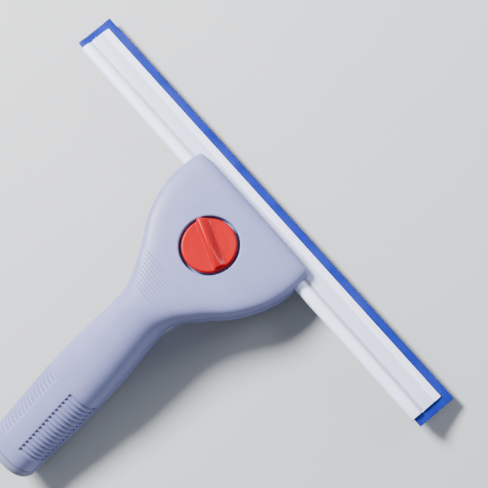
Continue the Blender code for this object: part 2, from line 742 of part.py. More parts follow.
def clamp_jaw(parent, mat):
    """Plate behind the channel, wide under it and narrow round the stud, with a nut boss."""
    levels = (
        (JAW_BOTTOM, JAW_CHAMFER),
        (JAW_BOTTOM + JAW_CHAMFER, 0.0),
        (JAW_TOP, 0.0),
    )
    plate = loft("clamp_jaw", [jaw_ring(z, chamfer) for z, chamfer in levels])
    jaw = object_from("clamp_jaw", plate, parent, mat)
    root = JAW_BOTTOM + JAW_BOSS_ROOT
    boss = cylinder("jaw_boss", JAW_BOSS_RADIUS, root, BOSS_TOP, parent, None, ROUND)
    boolean(jaw, boss, "UNION")
    corner = (NUT_ACROSS_FLATS + 2 * GAP) / math.sqrt(3)
    outline = [(corner * math.cos(a), corner * math.sin(a)) for a in hexagon_angles()]
    pocket_top = JAW_BOTTOM + NUT_HEIGHT + GAP
    pocket = prism("nut_pocket", outline, JAW_BOTTOM - OVERRUN, pocket_top, "z")
    boolean(jaw, object_from("nut_pocket", pocket, parent))
    low = JAW_BOTTOM - OVERRUN
    boolean(jaw, cylinder("jaw_stud_hole", STUD_RADIUS + GAP, low, OVERRUN, parent))
    for side in (-1, 1):
        frame = Matrix.Translation((side * GUIDE_PIN_X, GUIDE_PIN_Y, 0))
        radius = GUIDE_PIN_RADIUS + GAP
        boolean(jaw, cylinder(f"jaw_pin_hole_{side}", radius, low, OVERRUN, parent, frame))
    return jaw


def jaw_spring(parent, mat):
    """Compression spring round the stud, between the recess floor and the jaw's boss."""
    high = RECESS_BOTTOM - GAP - SPRING_WIRE / 2
    low = BOSS_TOP + GAP + SPRING_WIRE / 2
    steps = int(SPRING_TURNS * SMALL_ROUND)
    rings = []
    for i in range(steps + 1):
        share = i / steps
        angle = 2 * math.pi * SPRING_TURNS * share
        level = low + (high - low) * share
        out = Vector((math.cos(angle), math.sin(angle), 0))
        centre = out * SPRING_RADIUS + Vector((0, 0, level))
        ring = []
        for k in range(WIRE_SIDES):
            turn = 2 * math.pi * k / WIRE_SIDES
            offset = out * math.cos(turn) + Vector((0, 0, math.sin(turn)))
            ring.append(centre + offset * (SPRING_WIRE / 2))
        rings.append(ring)
    return object_from("jaw_spring", loft("jaw_spring", rings), parent, mat)


def guide_pins(parent, mat):
    end_radius = GUIDE_PIN_RADIUS - GUIDE_PIN_CHAMFER
    profile = [
        (end_radius, GUIDE_PIN_HIGH),
        (GUIDE_PIN_RADIUS, GUIDE_PIN_HIGH - GUIDE_PIN_CHAMFER),
        (GUIDE_PIN_RADIUS, GUIDE_PIN_LOW + GUIDE_PIN_CHAMFER),
        (end_radius, GUIDE_PIN_LOW),
    ]
    mesh = turned("guide_pin", profile, SMALL_ROUND)
    for side, x in (("left", -GUIDE_PIN_X), ("right", GUIDE_PIN_X)):
        pin = object_from("guide_pin_" + side, mesh, parent, mat)
        pin.location = (x, GUIDE_PIN_Y, 0)


def pad(name, low, parent, mat):
    half = PAD_LENGTH / 2
    width = min(PAD_WIDTH, KNOB_TO_EDGE - WALL - GAP - PAD_BACK_Y)
    corner_low = (-half, PAD_BACK_Y, low)
    corner_high = (half, PAD_BACK_Y + width, low + PAD_THICKNESS)
    return object_from(name, box(name, corner_low, corner_high), parent, mat)


def channel(parent, mat):
    half = CHANNEL_LENGTH / 2
    body = object_from("channel", prism("channel", channel_outline(), -half, half), parent, mat)
    reach = half + OVERRUN
    hollow = prism("channel_hollow", channel_hollow(), -reach, reach)
    boolean(body, object_from("channel_hollow", hollow, parent))
    return body


def rubber_blade(parent, mat):
    half = BLADE_LENGTH / 2
    blade = prism("rubber_blade", rubber_outline(), -half, half)
    return object_from("rubber_blade", blade, parent, mat)


# The resting pose


def tool_points(root):
    """Every corner of the visible pieces, in the tool's frame."""
    bpy.context.view_layer.update()
    graph = bpy.context.evaluated_depsgraph_get()
    to_tool = root.matrix_world.inverted()
    found = []
    for obj in bpy.context.scene.objects:
        if obj.type == "MESH" and not obj.hide_render:
            evaluated = obj.evaluated_get(graph)
            matrix = to_tool @ evaluated.matrix_world
            mesh = evaluated.to_mesh()
            found += [matrix @ v.co for v in mesh.vertices]
            evaluated.to_mesh_clear()
    return found


def lay_on_back(root):
    """Turn the tool about X until its blade side and its grip touch the floor together."""
    points = tool_points(root)
    low, high = 0.0, GRIP_ANGLE
    for _ in range(HALVINGS):
        tilt = (low + high) / 2
        turned_points = [Matrix.Rotation(-tilt, 3, "X") @ p for p in points]
        blade_low = min(q.z for p, q in zip(points, turned_points) if p.y > 0)
        grip_low = min(q.z for p, q in zip(points, turned_points) if p.y < 0)
        if grip_low < blade_low:
            low = tilt
        else:
            high = tilt
    root.rotation_euler.x = -tilt
    middle_x = (min(q.x for q in turned_points) + max(q.x for q in turned_points)) / 2
    middle_y = (min(q.y for q in turned_points) + max(q.y for q in turned_points)) / 2
    root.location = (-middle_x, -middle_y, -min(blade_low, grip_low))


def main():
    clear_scene()
    grey = material("handle_plastic", GREY, 0.42)
    insert = material("socket_plastic", LIGHT_GREY, 0.45)
    red = material("knob_plastic", RED, 0.3)
    white = material("white_aluminium", WHITE, 0.35, 0.2)
    blue = material("blade_rubber", BLUE, 0.55)
    black = material("pad_rubber", BLACK, 0.8)
    steel = material("steel", STEEL, 0.3, 1.0)
    jaw_plastic = material("jaw_plastic", DARK_GREY, 0.5)

    tool = empty("tool_frame")
    passage = channel_pass(tool)
    front_shell(tool, passage, grey)
    rear_shell(tool, passage, grey)
    shell_screws(tool, steel)
    pole_socket(tool, insert)
    pad("front_pad", FRONT_PAD_LOW, tool, black)
    guide_pins(tool, steel)

    knob_axis = empty("knob_axis", tool)
    clamp_knob(knob_axis, red)
    clamp_stud(knob_axis, steel)
    retaining_clip(knob_axis, steel)
    knob_washer(knob_axis, steel)

    jaw_carrier = empty("jaw_carrier", tool)
    clamp_jaw(jaw_carrier, jaw_plastic)
    clamp_nut(jaw_carrier, steel)
    pad("rear_pad", REAR_PAD_LOW, jaw_carrier, black)
    jaw_spring(tool, steel)

    channel_line = empty("channel_line", tool)
    channel(channel_line, white)
    blade_line = empty("blade_line", channel_line)
    rubber_blade(blade_line, blue)
    lay_on_back(tool)


main()
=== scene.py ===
"""Looks of the window squeegee: moulded grey handle, red clamp knob, coated channel and
blue rubber blade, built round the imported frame. Every length is in metres.

Each piece is modelled in the tool's own frame: the knob turns about Z, the head's face lies
at Z = 0, X runs along the blade and +Y points from the knob to the blade. TOOL takes that
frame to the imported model's frame.
"""

import json
import math

import bmesh
import bpy
from bpy.props import FloatProperty, FloatVectorProperty, IntProperty, PointerProperty
from mathutils import Matrix, Vector


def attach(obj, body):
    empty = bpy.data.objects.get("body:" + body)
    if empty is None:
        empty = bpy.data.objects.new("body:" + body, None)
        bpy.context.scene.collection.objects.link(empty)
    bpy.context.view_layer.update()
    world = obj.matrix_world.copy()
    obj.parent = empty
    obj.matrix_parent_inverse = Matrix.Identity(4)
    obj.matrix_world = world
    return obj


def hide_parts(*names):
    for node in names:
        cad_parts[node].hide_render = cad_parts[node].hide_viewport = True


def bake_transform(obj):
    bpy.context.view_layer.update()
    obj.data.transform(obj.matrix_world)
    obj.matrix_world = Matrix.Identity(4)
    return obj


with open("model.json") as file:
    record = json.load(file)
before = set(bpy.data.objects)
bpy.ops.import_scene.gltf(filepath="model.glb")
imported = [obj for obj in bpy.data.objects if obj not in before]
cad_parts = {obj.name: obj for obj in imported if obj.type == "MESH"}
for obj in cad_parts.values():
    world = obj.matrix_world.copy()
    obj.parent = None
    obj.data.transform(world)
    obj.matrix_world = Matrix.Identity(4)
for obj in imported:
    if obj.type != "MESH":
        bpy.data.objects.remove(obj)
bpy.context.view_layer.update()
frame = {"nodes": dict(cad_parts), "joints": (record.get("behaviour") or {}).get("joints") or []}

bl_info = {
    "name": "Window Squeegee",
    "version": (1, 0, 0),
    "blender": (4, 5, 0),
    "location": "View3D > Sidebar > Squeegee",
    "description": "Builds the pieces of a clamp-head window squeegee and its studio",
    "category": "Object",
}

MM = 0.001


def joint(name):
    """The frame's joint of that name."""
    return next(j for j in frame["joints"] if j["name"] == name)


def tool_frame():
    """The tool's own frame, from the knob's axis and its place."""
    up = Vector(joint("knob_turn")["axis"]).normalized()
    turn = Vector((0, 0, 1)).rotation_difference(up).to_matrix().to_4x4()
    return Matrix.Translation(Vector(joint("knob_turn")["pos_m"])) @ turn


TOOL = tool_frame()
TO_TOOL = TOOL.inverted()


def tool_box(node):
    """Lowest and highest corner of a frame node, in the tool's own frame."""
    points = [TO_TOOL @ v.co for v in frame["nodes"][node].data.vertices]
    low = Vector([min(p[i] for p in points) for i in range(3)])
    high = Vector([max(p[i] for p in points) for i in range(3)])
    return low, high


SHELL_LOW, SHELL_HIGH = tool_box("front_shell")
KNOB_LOW, KNOB_HIGH = tool_box("clamp_knob")
CHANNEL_LOW, CHANNEL_HIGH = tool_box("channel")
BLADE_LOW, BLADE_HIGH = tool_box("rubber_blade")
JAW_LOW, JAW_HIGH = tool_box("clamp_jaw")
STUD_LOW, STUD_HIGH = tool_box("clamp_stud")
WASHER_LOW, WASHER_HIGH = tool_box("knob_washer")
CLIP_LOW, CLIP_HIGH = tool_box("retaining_clip")
NUT_LOW, NUT_HIGH = tool_box("clamp_nut")
SPRING_LOW, SPRING_HIGH = tool_box("jaw_spring")
PIN_LOW, PIN_HIGH = tool_box("guide_pin_left")

# Sizes that the frame gives
HEAD_WIDTH = SHELL_HIGH.x - SHELL_LOW.x
KNOB_TO_EDGE = SHELL_HIGH.y
KNOB_RADIUS = KNOB_HIGH.x
STUD_RADIUS = STUD_HIGH.x
SPRING_RADIUS_OUT = SPRING_HIGH.x

# The handle's form, as in the frame
HEAD_EDGE_WIDTH = 94 * MM
EDGE_TO_BEND = 64.2 * MM
GRIP_LENGTH = 123 * MM
GRIP_ANGLE = math.radians(25.3)
BEND_RADIUS = 60 * MM
NECK_WIDTH = 32.4 * MM
GRIP_WIDTH = 37.4 * MM
GRIP_END_WIDTH = 34 * MM
HEAD_FRONT_DEPTH = 10 * MM
HEAD_REAR_DEPTH = 13.5 * MM
GRIP_HALF_DEPTH = 15 * MM
WIDEST_FROM_EDGE = 12.6 * MM
EDGE_ROLL_LENGTH = 6 * MM
EDGE_ROLL_DEPTH = 3.6 * MM
CORNER_RADIUS = 2 * MM
HEAD_SQUARENESS = 5.0
GRIP_SQUARENESS = 2.4
SQUARE_UNTIL = 45 * MM
DEEPENS_FROM = 32.1 * MM
DEEPENS_PAST_NECK = 8 * MM
WALL = 2.4 * MM
COLLAR_LENGTH = 5 * MM
GAP = 0.3 * MM
NECK_AT = EDGE_TO_BEND + BEND_RADIUS * GRIP_ANGLE
HANDLE_END = NECK_AT + GRIP_LENGTH
SHELL_END = HANDLE_END - COLLAR_LENGTH
# How the head widens from the neck (0) to its widest (1), and the grip's widths along it
FLARE = ((0, 0), (0.2, 0.1), (0.38, 0.344), (0.54, 0.647), (0.7, 0.855), (0.85, 0.968), (1, 1))
GRIP_WIDTHS = ((0, NECK_WIDTH), (0.36, GRIP_WIDTH), (0.62, GRIP_WIDTH), (1, GRIP_END_WIDTH))
# Land behind the front pad, and the fine lines across the neck: wide at first, narrow at last
LAND_HALF = 37 * MM
NECK_LINES_FROM = 60.4 * MM
NECK_LINE_HALF = (20.8 * MM, 11.0 * MM)
NECK_LINE_WIDTH = 0.85 * MM
NECK_LINE_FADE = 0.9 * MM
RIB_FADE = 1.0 * MM
RIB_SHARPNESS = 1.1

# Knob, its recess and its fin. The fin's flanks start and end at shares of its half width
RECESS_RADIUS = KNOB_RADIUS + 1.55 * MM
RECESS_DEPTH = 5 * MM
RECESS_BOTTOM = -7.2 * MM
RECESS_RIM = 0.9 * MM
RECESS_FOOT = 0.5 * MM
KNOB_CHAMFER = 0.9 * MM
KNOB_FACE_RISE = 0.4 * MM
FIN_TURN = math.radians(-20)
FIN_STEEP = (0.2, 1.4)
FIN_LONG = (0.1, 3.1)
FIN_POINTER_FALL = 0.55
FIN_REACH = 0.9 * MM

# Channel section, from the frame's own box
CHANNEL_BACK = CHANNEL_LOW.y
CHANNEL_LIP = CHANNEL_HIGH.y
CHANNEL_TOP = CHANNEL_HIGH.z
CHANNEL_REAR = CHANNEL_LOW.z
BULB_RISE = 1.1 * MM
CHANNEL_FACE = CHANNEL_TOP - BULB_RISE
BULB_WIDTH = 7.2 * MM
LIP_STRIP = 4.5 * MM
CHANNEL_WALL = 1.1 * MM
SLOT_TOP = CHANNEL_FACE - CHANNEL_WALL
SLOT_FLOOR = CHANNEL_REAR + CHANNEL_WALL
GROOVE_RAMP = 2.0 * MM
BULB_FLANK = 3.3 * MM
BULB_ROUND = 2.8 * MM
CHANNEL_FOOT = 1.2 * MM
PUNCH_MARKS = (-85.4 * MM, 94.6 * MM, 127.7 * MM)
PUNCH_RADIUS = 0.55 * MM
PUNCH_PLACE = 0.6 * MM

# Shell screws
SCREW_CORE = 1.25 * MM
SCREW_RADIUS = 1.75 * MM
SCREW_LENGTH = 14 * MM
SCREW_HEAD_RADIUS = 3.4 * MM
SCREW_HEAD_HEIGHT = 2.2 * MM
SCREW_TIP_ROOM = 1.5 * MM
CROSS_DEPTH = 1.5 * MM
CROSS_REACH = 1.9 * MM
CROSS_HALF_WIDTH = 0.34 * MM
BOSS_WALL = 1.6 * MM
HEAD_SCREW_Y = 6 * MM
SCREW_SIDE_INSET = 11.2 * MM
NECK_SCREW_BACK = 62 * MM
GRIP_SCREWS_FROM_END = (94 * MM, 58 * MM)

# Pole socket
SOCKET_BORE_RADIUS = 9.6 * MM
SOCKET_WALL = 2.6 * MM
SOCKET_LENGTH = 44 * MM
SOCKET_FLOOR = 3 * MM
SOCKET_CHAMFER = 1.2 * MM
SOCKET_PITCH = 4.2 * MM
SOCKET_THREAD_DEPTH = 1.1 * MM

# Clamp
STUD_NECK_DEPTH = 0.6 * MM
CLIP_RELIEF = 1.1 * MM
CLIP_MOUTH = 34
NUT_CHAMFER = 0.75 * MM
SPRING_TURNS = 2.5
PAD_RIBS = 9
JAW_CHAMFER = 2.3 * MM
JAW_STEM_HALF = 28 * MM
JAW_SHOULDER = CHANNEL_BACK - 1.4 * MM
JAW_BOSS_RADIUS = 8.6 * MM
JAW_RIB_REACH = (7.5 * MM, 25.5 * MM)
JAW_RIB_PLACE = 4.5 * MM
JAW_RIB_HALF = 0.6 * MM

# Camera: where the tool's frame stands before the lens
CAMERA_ROLL = -0.87817
CAMERA_PITCH = -0.12039
CAMERA_YAW = -0.27368
CAMERA_OFFSET = Vector((-19.306, -0.674, -825.136)) * MM
CAMERA_LENS = 109.95
CAMERA_SENSOR = 36.0

# How far a cutter goes past what it cuts, and how finely the pieces are divided
CUT_ROOM = 10 * MM
OUTLINE_STEPS = 150
SHELL_COLUMNS = 131
ROLL_RINGS = 18
RINGS_PER_RIB = 12
RING_STEP = 1.5 * MM
LINE_RING_STEP = 0.16 * MM
KNOB_COLUMNS = 96
THREAD_RINGS = 10
THREAD_RUN_OUT = 0.8
THREAD_FLANK = (0.15, 0.9)


# ---------------------------------------------------------------- settings


def length(name, description, default):
    """A length that a user may change."""
    return FloatProperty(
        name=name,
        description=description,
        default=default,
        min=0.0,
        max=1.0,
        unit="LENGTH",
        precision=5,
    )


def colour(name, description, default):
    """A colour that a user may change."""
    return FloatVectorProperty(
        name=name,
        description=description,
        default=default,
        size=3,
        min=0.0,
        max=1.0,
        subtype="COLOR",
    )


class SqueegeeHandleSettings(bpy.types.PropertyGroup):
    rib_pitch: length("Rib pitch", "Distance from one grip rib to the next", 3.05 * MM)
    rib_depth: length("Rib depth", "Depth of the hollows between the grip ribs", 1.25 * MM)
    rib_start: length("Rib start", "Where the ribs begin, behind the straight edge", 150.6 * MM)
    rib_count: IntProperty(name="Ribs", description="Number of hollows", default=16, min=1, max=30)
    plain_strip: length("Plain strip", "Half width of the smooth strip in front", 5.6 * MM)
    line_pitch: length("Line pitch", "Distance between the fine neck lines", 1.95 * MM)
    line_depth: length("Line depth", "Depth of the fine neck lines", 0.24 * MM)
    line_count: IntProperty(name="Lines", description="Number of neck lines", default=10, min=1)
    seam_round: length("Seam round", "Rounding of the shells where they meet", 0.45 * MM)
    colour: colour("Handle", "Colour of the moulded shells", (0.166, 0.178, 0.355))
    socket: colour("Socket", "Colour of the pole socket", (0.15, 0.16, 0.26))


class SqueegeeKnobSettings(bpy.types.PropertyGroup):
    fin_height: length("Fin height", "Height of the finger fin above the face", 3.9 * MM)
    fin_waist: length("Fin waist", "Half width of the fin in its middle", 1.9 * MM)
    fin_end: length("Fin end", "Half width of the fin at its ends", 2.3 * MM)
    fin_arch: FloatProperty(name="Fin arch", description="Fall towards the ends", default=0.72)
    dish: length("Dish", "How far the two finger hollows dip", 0.15 * MM)
    colour: colour("Knob", "Colour of the knob", (0.315, 0.0005, 0.004))


class SqueegeeChannelSettings(bpy.types.PropertyGroup):
    groove_dip: length("Groove dip", "Depth of the line beside the bulb", 0.55 * MM)
    lip_slope: length("Lip slope", "How far the lip strip falls", 0.6 * MM)
    end_round: length("End round", "Softening of the sawn ends", 0.3 * MM)
    colour: colour("Channel", "Colour of the coated aluminium", (0.70, 0.73, 1.0))


class SqueegeeBladeSettings(bpy.types.PropertyGroup):
    edge_round: length("Edge round", "Rounding of the blade's long edges", 0.18 * MM)
    colour: colour("Rubber", "Colour of the rubber blade", (0.0045, 0.013, 0.205))


class SqueegeeHardwareSettings(bpy.types.PropertyGroup):
    stud_pitch: length("Stud pitch", "Thread pitch of the clamp stud", 1.0 * MM)
    screw_pitch: length("Screw pitch", "Thread pitch of the shell screws", 1.3 * MM)
    wire: length("Spring wire", "Diameter of the spring wire", 0.9 * MM)
    steel: colour("Steel", "Colour of the plated steel", (0.56, 0.57, 0.59))
    jaw: colour("Jaw", "Colour of the clamp jaw", (0.10, 0.10, 0.112))
    pad: colour("Pads", "Colour of the grip pads", (0.022, 0.022, 0.025))


class SqueegeeStageSettings(bpy.types.PropertyGroup):
    floor_colour: colour("Floor", "Colour of the studio floor", (0.36, 0.37, 0.39))
    key_power: FloatProperty(name="Key light", description="Power of the main light", default=105.0)
    fill_power: FloatProperty(name="Fill light", description="Power of the fill", default=14.0)
    sky: FloatProperty(name="Sky", description="Strength of the surround", default=0.45)


# ---------------------------------------------------------------- numbers and curves


def smooth_curve(points, x):
    """A smooth line through (x, y) points, flat at both ends."""
    if x <= points[0][0]:
        return points[0][1]
    if x >= points[-1][0]:
        return points[-1][1]
    slopes = [0.0]
    for before, after in zip(points, points[2:]):
        slopes.append((after[1] - before[1]) / (after[0] - before[0]))
    slopes.append(0.0)
    i = max(k for k in range(len(points) - 1) if points[k][0] <= x)
    (x0, y0), (x1, y1) = points[i], points[i + 1]
    span = x1 - x0
    t = (x - x0) / span
    start = (2 * t**3 - 3 * t**2 + 1) * y0 + (t**3 - 2 * t**2 + t) * span * slopes[i]
    end = (3 * t**2 - 2 * t**3) * y1 + (t**3 - t**2) * span * slopes[i + 1]
    return start + end


def ease(x, low, high):
    """0 before low, 1 after high, and a smooth step between them."""
    t = min(max((x - low) / (high - low), 0.0), 1.0)
    return t * t * (3 - 2 * t)


def spread(low, high, step):
    """Evenly spaced places from low up to, and without, high."""
    count = max(1, round((high - low) / step))
    return [low + (high - low) * i / count for i in range(count)]


def arc_points(centre, radius, start, end, count):
    """Points of an arc from angle start to end, both in degrees."""
    points = []
    for i in range(count + 1):
        angle = math.radians(start + (end - start) * i / count)
        points.append((centre[0] + radius * math.cos(angle), centre[1] + radius * math.sin(angle)))
    return points


# ---------------------------------------------------------------- meshes


def new_object(name, mesh):
    obj = bpy.data.objects.new(name, mesh)
    bpy.context.scene.collection.objects.link(obj)
    return obj


def mesh_from(bm, name):
    """The mesh of bm, with its normals outward. bm is freed."""
    bmesh.ops.recalc_face_normals(bm, faces=bm.faces)
    mesh = bpy.data.meshes.new(name)
    bm.to_mesh(mesh)
    bm.free()
    return mesh


def loft(name, rings, closed=False):
    """A closed solid through rings of points. A closed loft joins its last ring to its first."""
    bm = bmesh.new()
    rows = [[bm.verts.new(p) for p in ring] for ring in rings]
    count = len(rows[0])
    pairs = list(zip(rows, rows[1:]))
    if closed:
        pairs.append((rows[-1], rows[0]))
    for first, second in pairs:
        for i in range(count):
            j = (i + 1) % count
            bm.faces.new((first[i], first[j], second[j], second[i]))
    if not closed:
        bm.faces.new(rows[0])
        bm.faces.new(rows[-1])
    return mesh_from(bm, name)


def level_ring(outline, z):
    """The (x, y) outline as a ring at height z."""
    return [Vector((x, y, z)) for x, y in outline]


def upright(name, outline, low, high):
    """A solid of one (x, y) outline from low up to high."""
    return loft(name, [level_ring(outline, z) for z in (low, high)])


def rectangle(left, right, near, far):
    """Corners of a rectangle in the XY plane."""
    return [(left, near), (right, near), (right, far), (left, far)]


def hexagon(flats):
    """Corners of a hexagon of the given width across its flats."""
    corner = flats / math.sqrt(3)
    turns = [math.pi / 3 * i for i in range(6)]
    return [(corner * math.cos(turn), corner * math.sin(turn)) for turn in turns]


def rows_about(profile, steps):
    """The (radius, z) profile at each of the steps round Z."""
    angles = [2 * math.pi * i / steps for i in range(steps)]
    return [[Vector((r * math.cos(a), r * math.sin(a), z)) for r, z in profile] for a in angles]


def prism_x(name, outline, stations):
    """A solid of one (y, z) outline along X, given as (x, inset) stations."""
    middle_y = sum(p[0] for p in outline) / len(outline)
    middle_z = sum(p[1] for p in outline) / len(outline)
    rings = []
    for x, inset in stations:
        ring = []
        for y, z in outline:
            out = Vector((y - middle_y, z - middle_z))
            pull = min(inset / max(out.length, inset), 1.0) if inset else 0.0
            ring.append(Vector((x, y - out.x * pull, z - out.y * pull)))
        rings.append(ring)
    return loft(name, rings)


def turned(name, profile, steps=64):
    """A solid turned about Z from (radius, z) points, both ends on flat faces."""
    return loft(name, list(zip(*rows_about(profile, steps))))


def ring_turned(name, profile, steps):
    """A ring turned about Z from a closed (radius, z) outline."""
    return loft(name, rows_about(profile, steps), closed=True)


def tube_along(name, centres, frames, radius, sides):
    """A round wire along centres, with a (side, up) frame at each."""
    rings = []
    for centre, (side, up) in zip(centres, frames):
        ring = []
        for k in range(sides):
            turn = 2 * math.pi * k / sides
            ring.append(centre + (side * math.cos(turn) + up * math.sin(turn)) * radius)
        rings.append(ring)
    return loft(name, rings)


def threaded(name, core, crest, pitch, low, high, steps=28):
    """A threaded rod about Z: the radius of each ring follows the helix, and fades at the ends."""
    rings = []
    count = max(8, int((high - low) / pitch * THREAD_RINGS))
    for i in range(count + 1):
        z = low + (high - low) * i / count
        fade = ease(min(z - low, high - z), 0.0, THREAD_RUN_OUT * pitch)
        ring = []
        for k in range(steps):
            angle = 2 * math.pi * k / steps
            phase = (z / pitch - angle / (2 * math.pi)) % 1.0
            flank = ease(1 - abs(2 * phase - 1), *THREAD_FLANK)
            radius = core + (crest - core) * flank * fade
            ring.append(Vector((radius * math.cos(angle), radius * math.sin(angle), z)))
        rings.append(ring)
    return loft(name, rings)


def cut(obj, tool, operation="DIFFERENCE"):
    """Boolean with a solid that is then thrown away. tool is an object or a mesh."""
    if not isinstance(tool, bpy.types.Object):
        tool = new_object("cutter", tool)
    modifier = obj.modifiers.new("cut", "BOOLEAN")
    modifier.operation = operation
    modifier.object = tool
    modifier.solver = "MANIFOLD"
    graph = bpy.context.evaluated_depsgraph_get()
    mesh = bpy.data.meshes.new_from_object(obj.evaluated_get(graph), depsgraph=graph)
    obj.modifiers.clear()
    obj.data = mesh
    bpy.data.objects.remove(tool, do_unlink=True)


def hand_over(obj, body, slot_name, material, *nodes, sharp=32):
    """Finish a piece: shading, material, its place in the frame, its body and nodes; slot_name is
    not used.

    A piece may be given no body, and is then left unattached.
    """
    mesh = obj.data
    mesh.transform(TOOL)
    mesh.shade_smooth()
    mesh.set_sharp_from_angle(angle=math.radians(sharp))
    mesh.materials.clear()
    mesh.materials.append(material)
    if body:
        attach(obj, body)
    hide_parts(*nodes)


# ---------------------------------------------------------------- shader nodes


def node(tree, kind, options=None, **inputs):
    """A shader node. An input that is a socket is linked, any other value is set."""
    made = tree.nodes.new(kind)
    for name, value in (options or {}).items():
        setattr(made, name, value)
    for name, value in inputs.items():
        plug(tree, made.inputs[name.replace("_", " ")], value)
    return made


def plug(tree, socket, value):
    """Link a socket to the input, or set the input to a plain value."""
    if isinstance(value, bpy.types.NodeSocket):
        tree.links.new(value, socket)
    else:
        socket.default_value = value


def sums(tree, operation, first, second):
    """A Math node of the two values."""
    made = node(tree, "ShaderNodeMath", {"operation": operation})
    plug(tree, made.inputs[0], first)
    plug(tree, made.inputs[1], second)
    return made.outputs[0]


def blend_colours(tree, share, first, second):
    """The first colour, moved towards the second by the share. A colour may be a plain tuple."""
    made = node(tree, "ShaderNodeMix", {"data_type": "RGBA"})
    plug(tree, made.inputs[0], share)
    for place_in_node, value in ((6, first), (7, second)):
        plug(tree, made.inputs[place_in_node], (*value, 1) if isinstance(value, tuple) else value)
    return made.outputs[2]


def tinted(tree, tone, mask, amount, tint):
    """The tone, moved towards the tint by an amount where the mask shows."""
    return blend_colours(tree, sums(tree, "MULTIPLY", mask, amount), tone, tint)


def clouded(tree, surface, base, dark, light):
    """The base colour, clouded between a darker and a lighter shade of it."""
    shades = [tuple(min(c * share, 1.0) for c in base) for share in (dark, light)]
    return blend_colours(tree, surface.outputs["Cloud"], *shades)


def between(tree, value, low, high, new_low, new_high):
    """The value, carried from low..high over to new_low..new_high and held inside it."""
    made = node(tree, "ShaderNodeMapRange", {"clamp": True}, Value=value)
    limits = {"From Min": low, "From Max": high, "To Min": new_low, "To Max": new_high}
    for name, number in limits.items():
        made.inputs[name].default_value = number
    return made.outputs["Result"]


def noise(tree, where, scale, detail=2.0):
    """A noise texture."""
    made = node(tree, "ShaderNodeTexNoise", None, Vector=where, Scale=scale)
    made.inputs["Detail"].default_value = detail
    return made


def object_place(tree):
    """The shaded point in the object's own coordinates."""
    return node(tree, "ShaderNodeTexCoord").outputs["Object"]


def relief(tree, shader, height, strength, distance):
    """Fine relief of the surface from a height."""
    bump = node(tree, "ShaderNodeBump", None, Strength=strength, Distance=distance)
    plug(tree, bump.inputs["Height"], height)
    plug(tree, shader.inputs["Normal"], bump.outputs["Normal"])


def group_shell(name, inputs, outputs):
    """An empty shader node group with its sockets. Returns it and its two end nodes."""
    group = bpy.data.node_groups.new(name, "ShaderNodeTree")
    for label, default in inputs:
        socket = group.interface.new_socket(label, in_out="INPUT", socket_type="NodeSocketFloat")
        socket.default_value = default
    for label in outputs:
        group.interface.new_socket(label, in_out="OUTPUT", socket_type="NodeSocketFloat")
    return group, group.nodes.new("NodeGroupInput"), group.nodes.new("NodeGroupOutput")


def moulded_grain():
    """Fine spark-eroded grain, with broad clouding of the colour and a few flecks."""
    sockets = [("Grain Scale", 2600.0), ("Cloud Scale", 60.0)]
    group, inlet, outlet = group_shell("Moulded grain", sockets, ("Height", "Cloud", "Fleck"))
    where = object_place(group)
    fine = noise(group, where, inlet.outputs[0], 3.0)
    fine.inputs["Roughness"].default_value = 0.62
    cloud = noise(group, where, inlet.outputs[1], 4.0)
    fleck_scale = sums(group, "MULTIPLY", inlet.outputs[0], 0.16)
    flecks = node(group, "ShaderNodeTexVoronoi", None, Vector=where, Scale=fleck_scale)
    clouds = between(group, cloud.outputs["Fac"], 0.3, 0.7, 0.0, 1.0)
    spots = between(group, flecks.outputs["Distance"], 0.10, 0.02, 0.0, 1.0)
    for label, value in (("Height", fine.outputs["Fac"]), ("Cloud", clouds), ("Fleck", spots)):
        plug(group, outlet.inputs[label], value)
    return group


def edge_wear():
    """Mask of the edges, where handling has polished and lightened the surface."""
    sockets = [("Radius", 0.6 * MM), ("Break Scale", 350.0)]
    group, inlet, outlet = group_shell("Edge wear", sockets, ("Mask",))
    rounded = node(group, "ShaderNodeBevel", {"samples": 4}, Radius=inlet.outputs[0])
    shape = node(group, "ShaderNodeNewGeometry")
    dot = node(group, "ShaderNodeVectorMath", {"operation": "DOT_PRODUCT"})
    plug(group, dot.inputs[0], rounded.outputs["Normal"])
    plug(group, dot.inputs[1], shape.outputs["Normal"])
    edges = between(group, dot.outputs["Value"], 0.985, 0.80, 0.0, 1.0)
    patches = noise(group, object_place(group), inlet.outputs[1])
    broken = between(group, patches.outputs["Fac"], 0.35, 0.62, 0.25, 1.0)
    plug(group, outlet.inputs["Mask"], sums(group, "MULTIPLY", edges, broken))
    return group


def settled_dust():
    """Mask of faint dust and dried drops on the faces that look up."""
    sockets = [("Patch Scale", 45.0), ("Speck Scale", 900.0)]
    group, inlet, outlet = group_shell("Settled dust", sockets, ("Mask",))
    where = object_place(group)
    patches = noise(group, where, inlet.outputs[0], 5.0)
    specks = noise(group, where, inlet.outputs[1])
    normal = node(group, "ShaderNodeNewGeometry").outputs["Normal"]
    facing = node(group, "ShaderNodeSeparateXYZ", None, Vector=normal)
    upward = between(group, facing.outputs["Z"], 0.2, 0.95, 0.0, 1.0)
    broad = between(group, patches.outputs["Fac"], 0.42, 0.72, 0.0, 1.0)
    fine = between(group, specks.outputs["Fac"], 0.5, 0.66, 0.3, 1.0)
    mask = sums(group, "MULTIPLY", sums(group, "MULTIPLY", broad, fine), upward)
    plug(group, outlet.inputs["Mask"], mask)
    return group


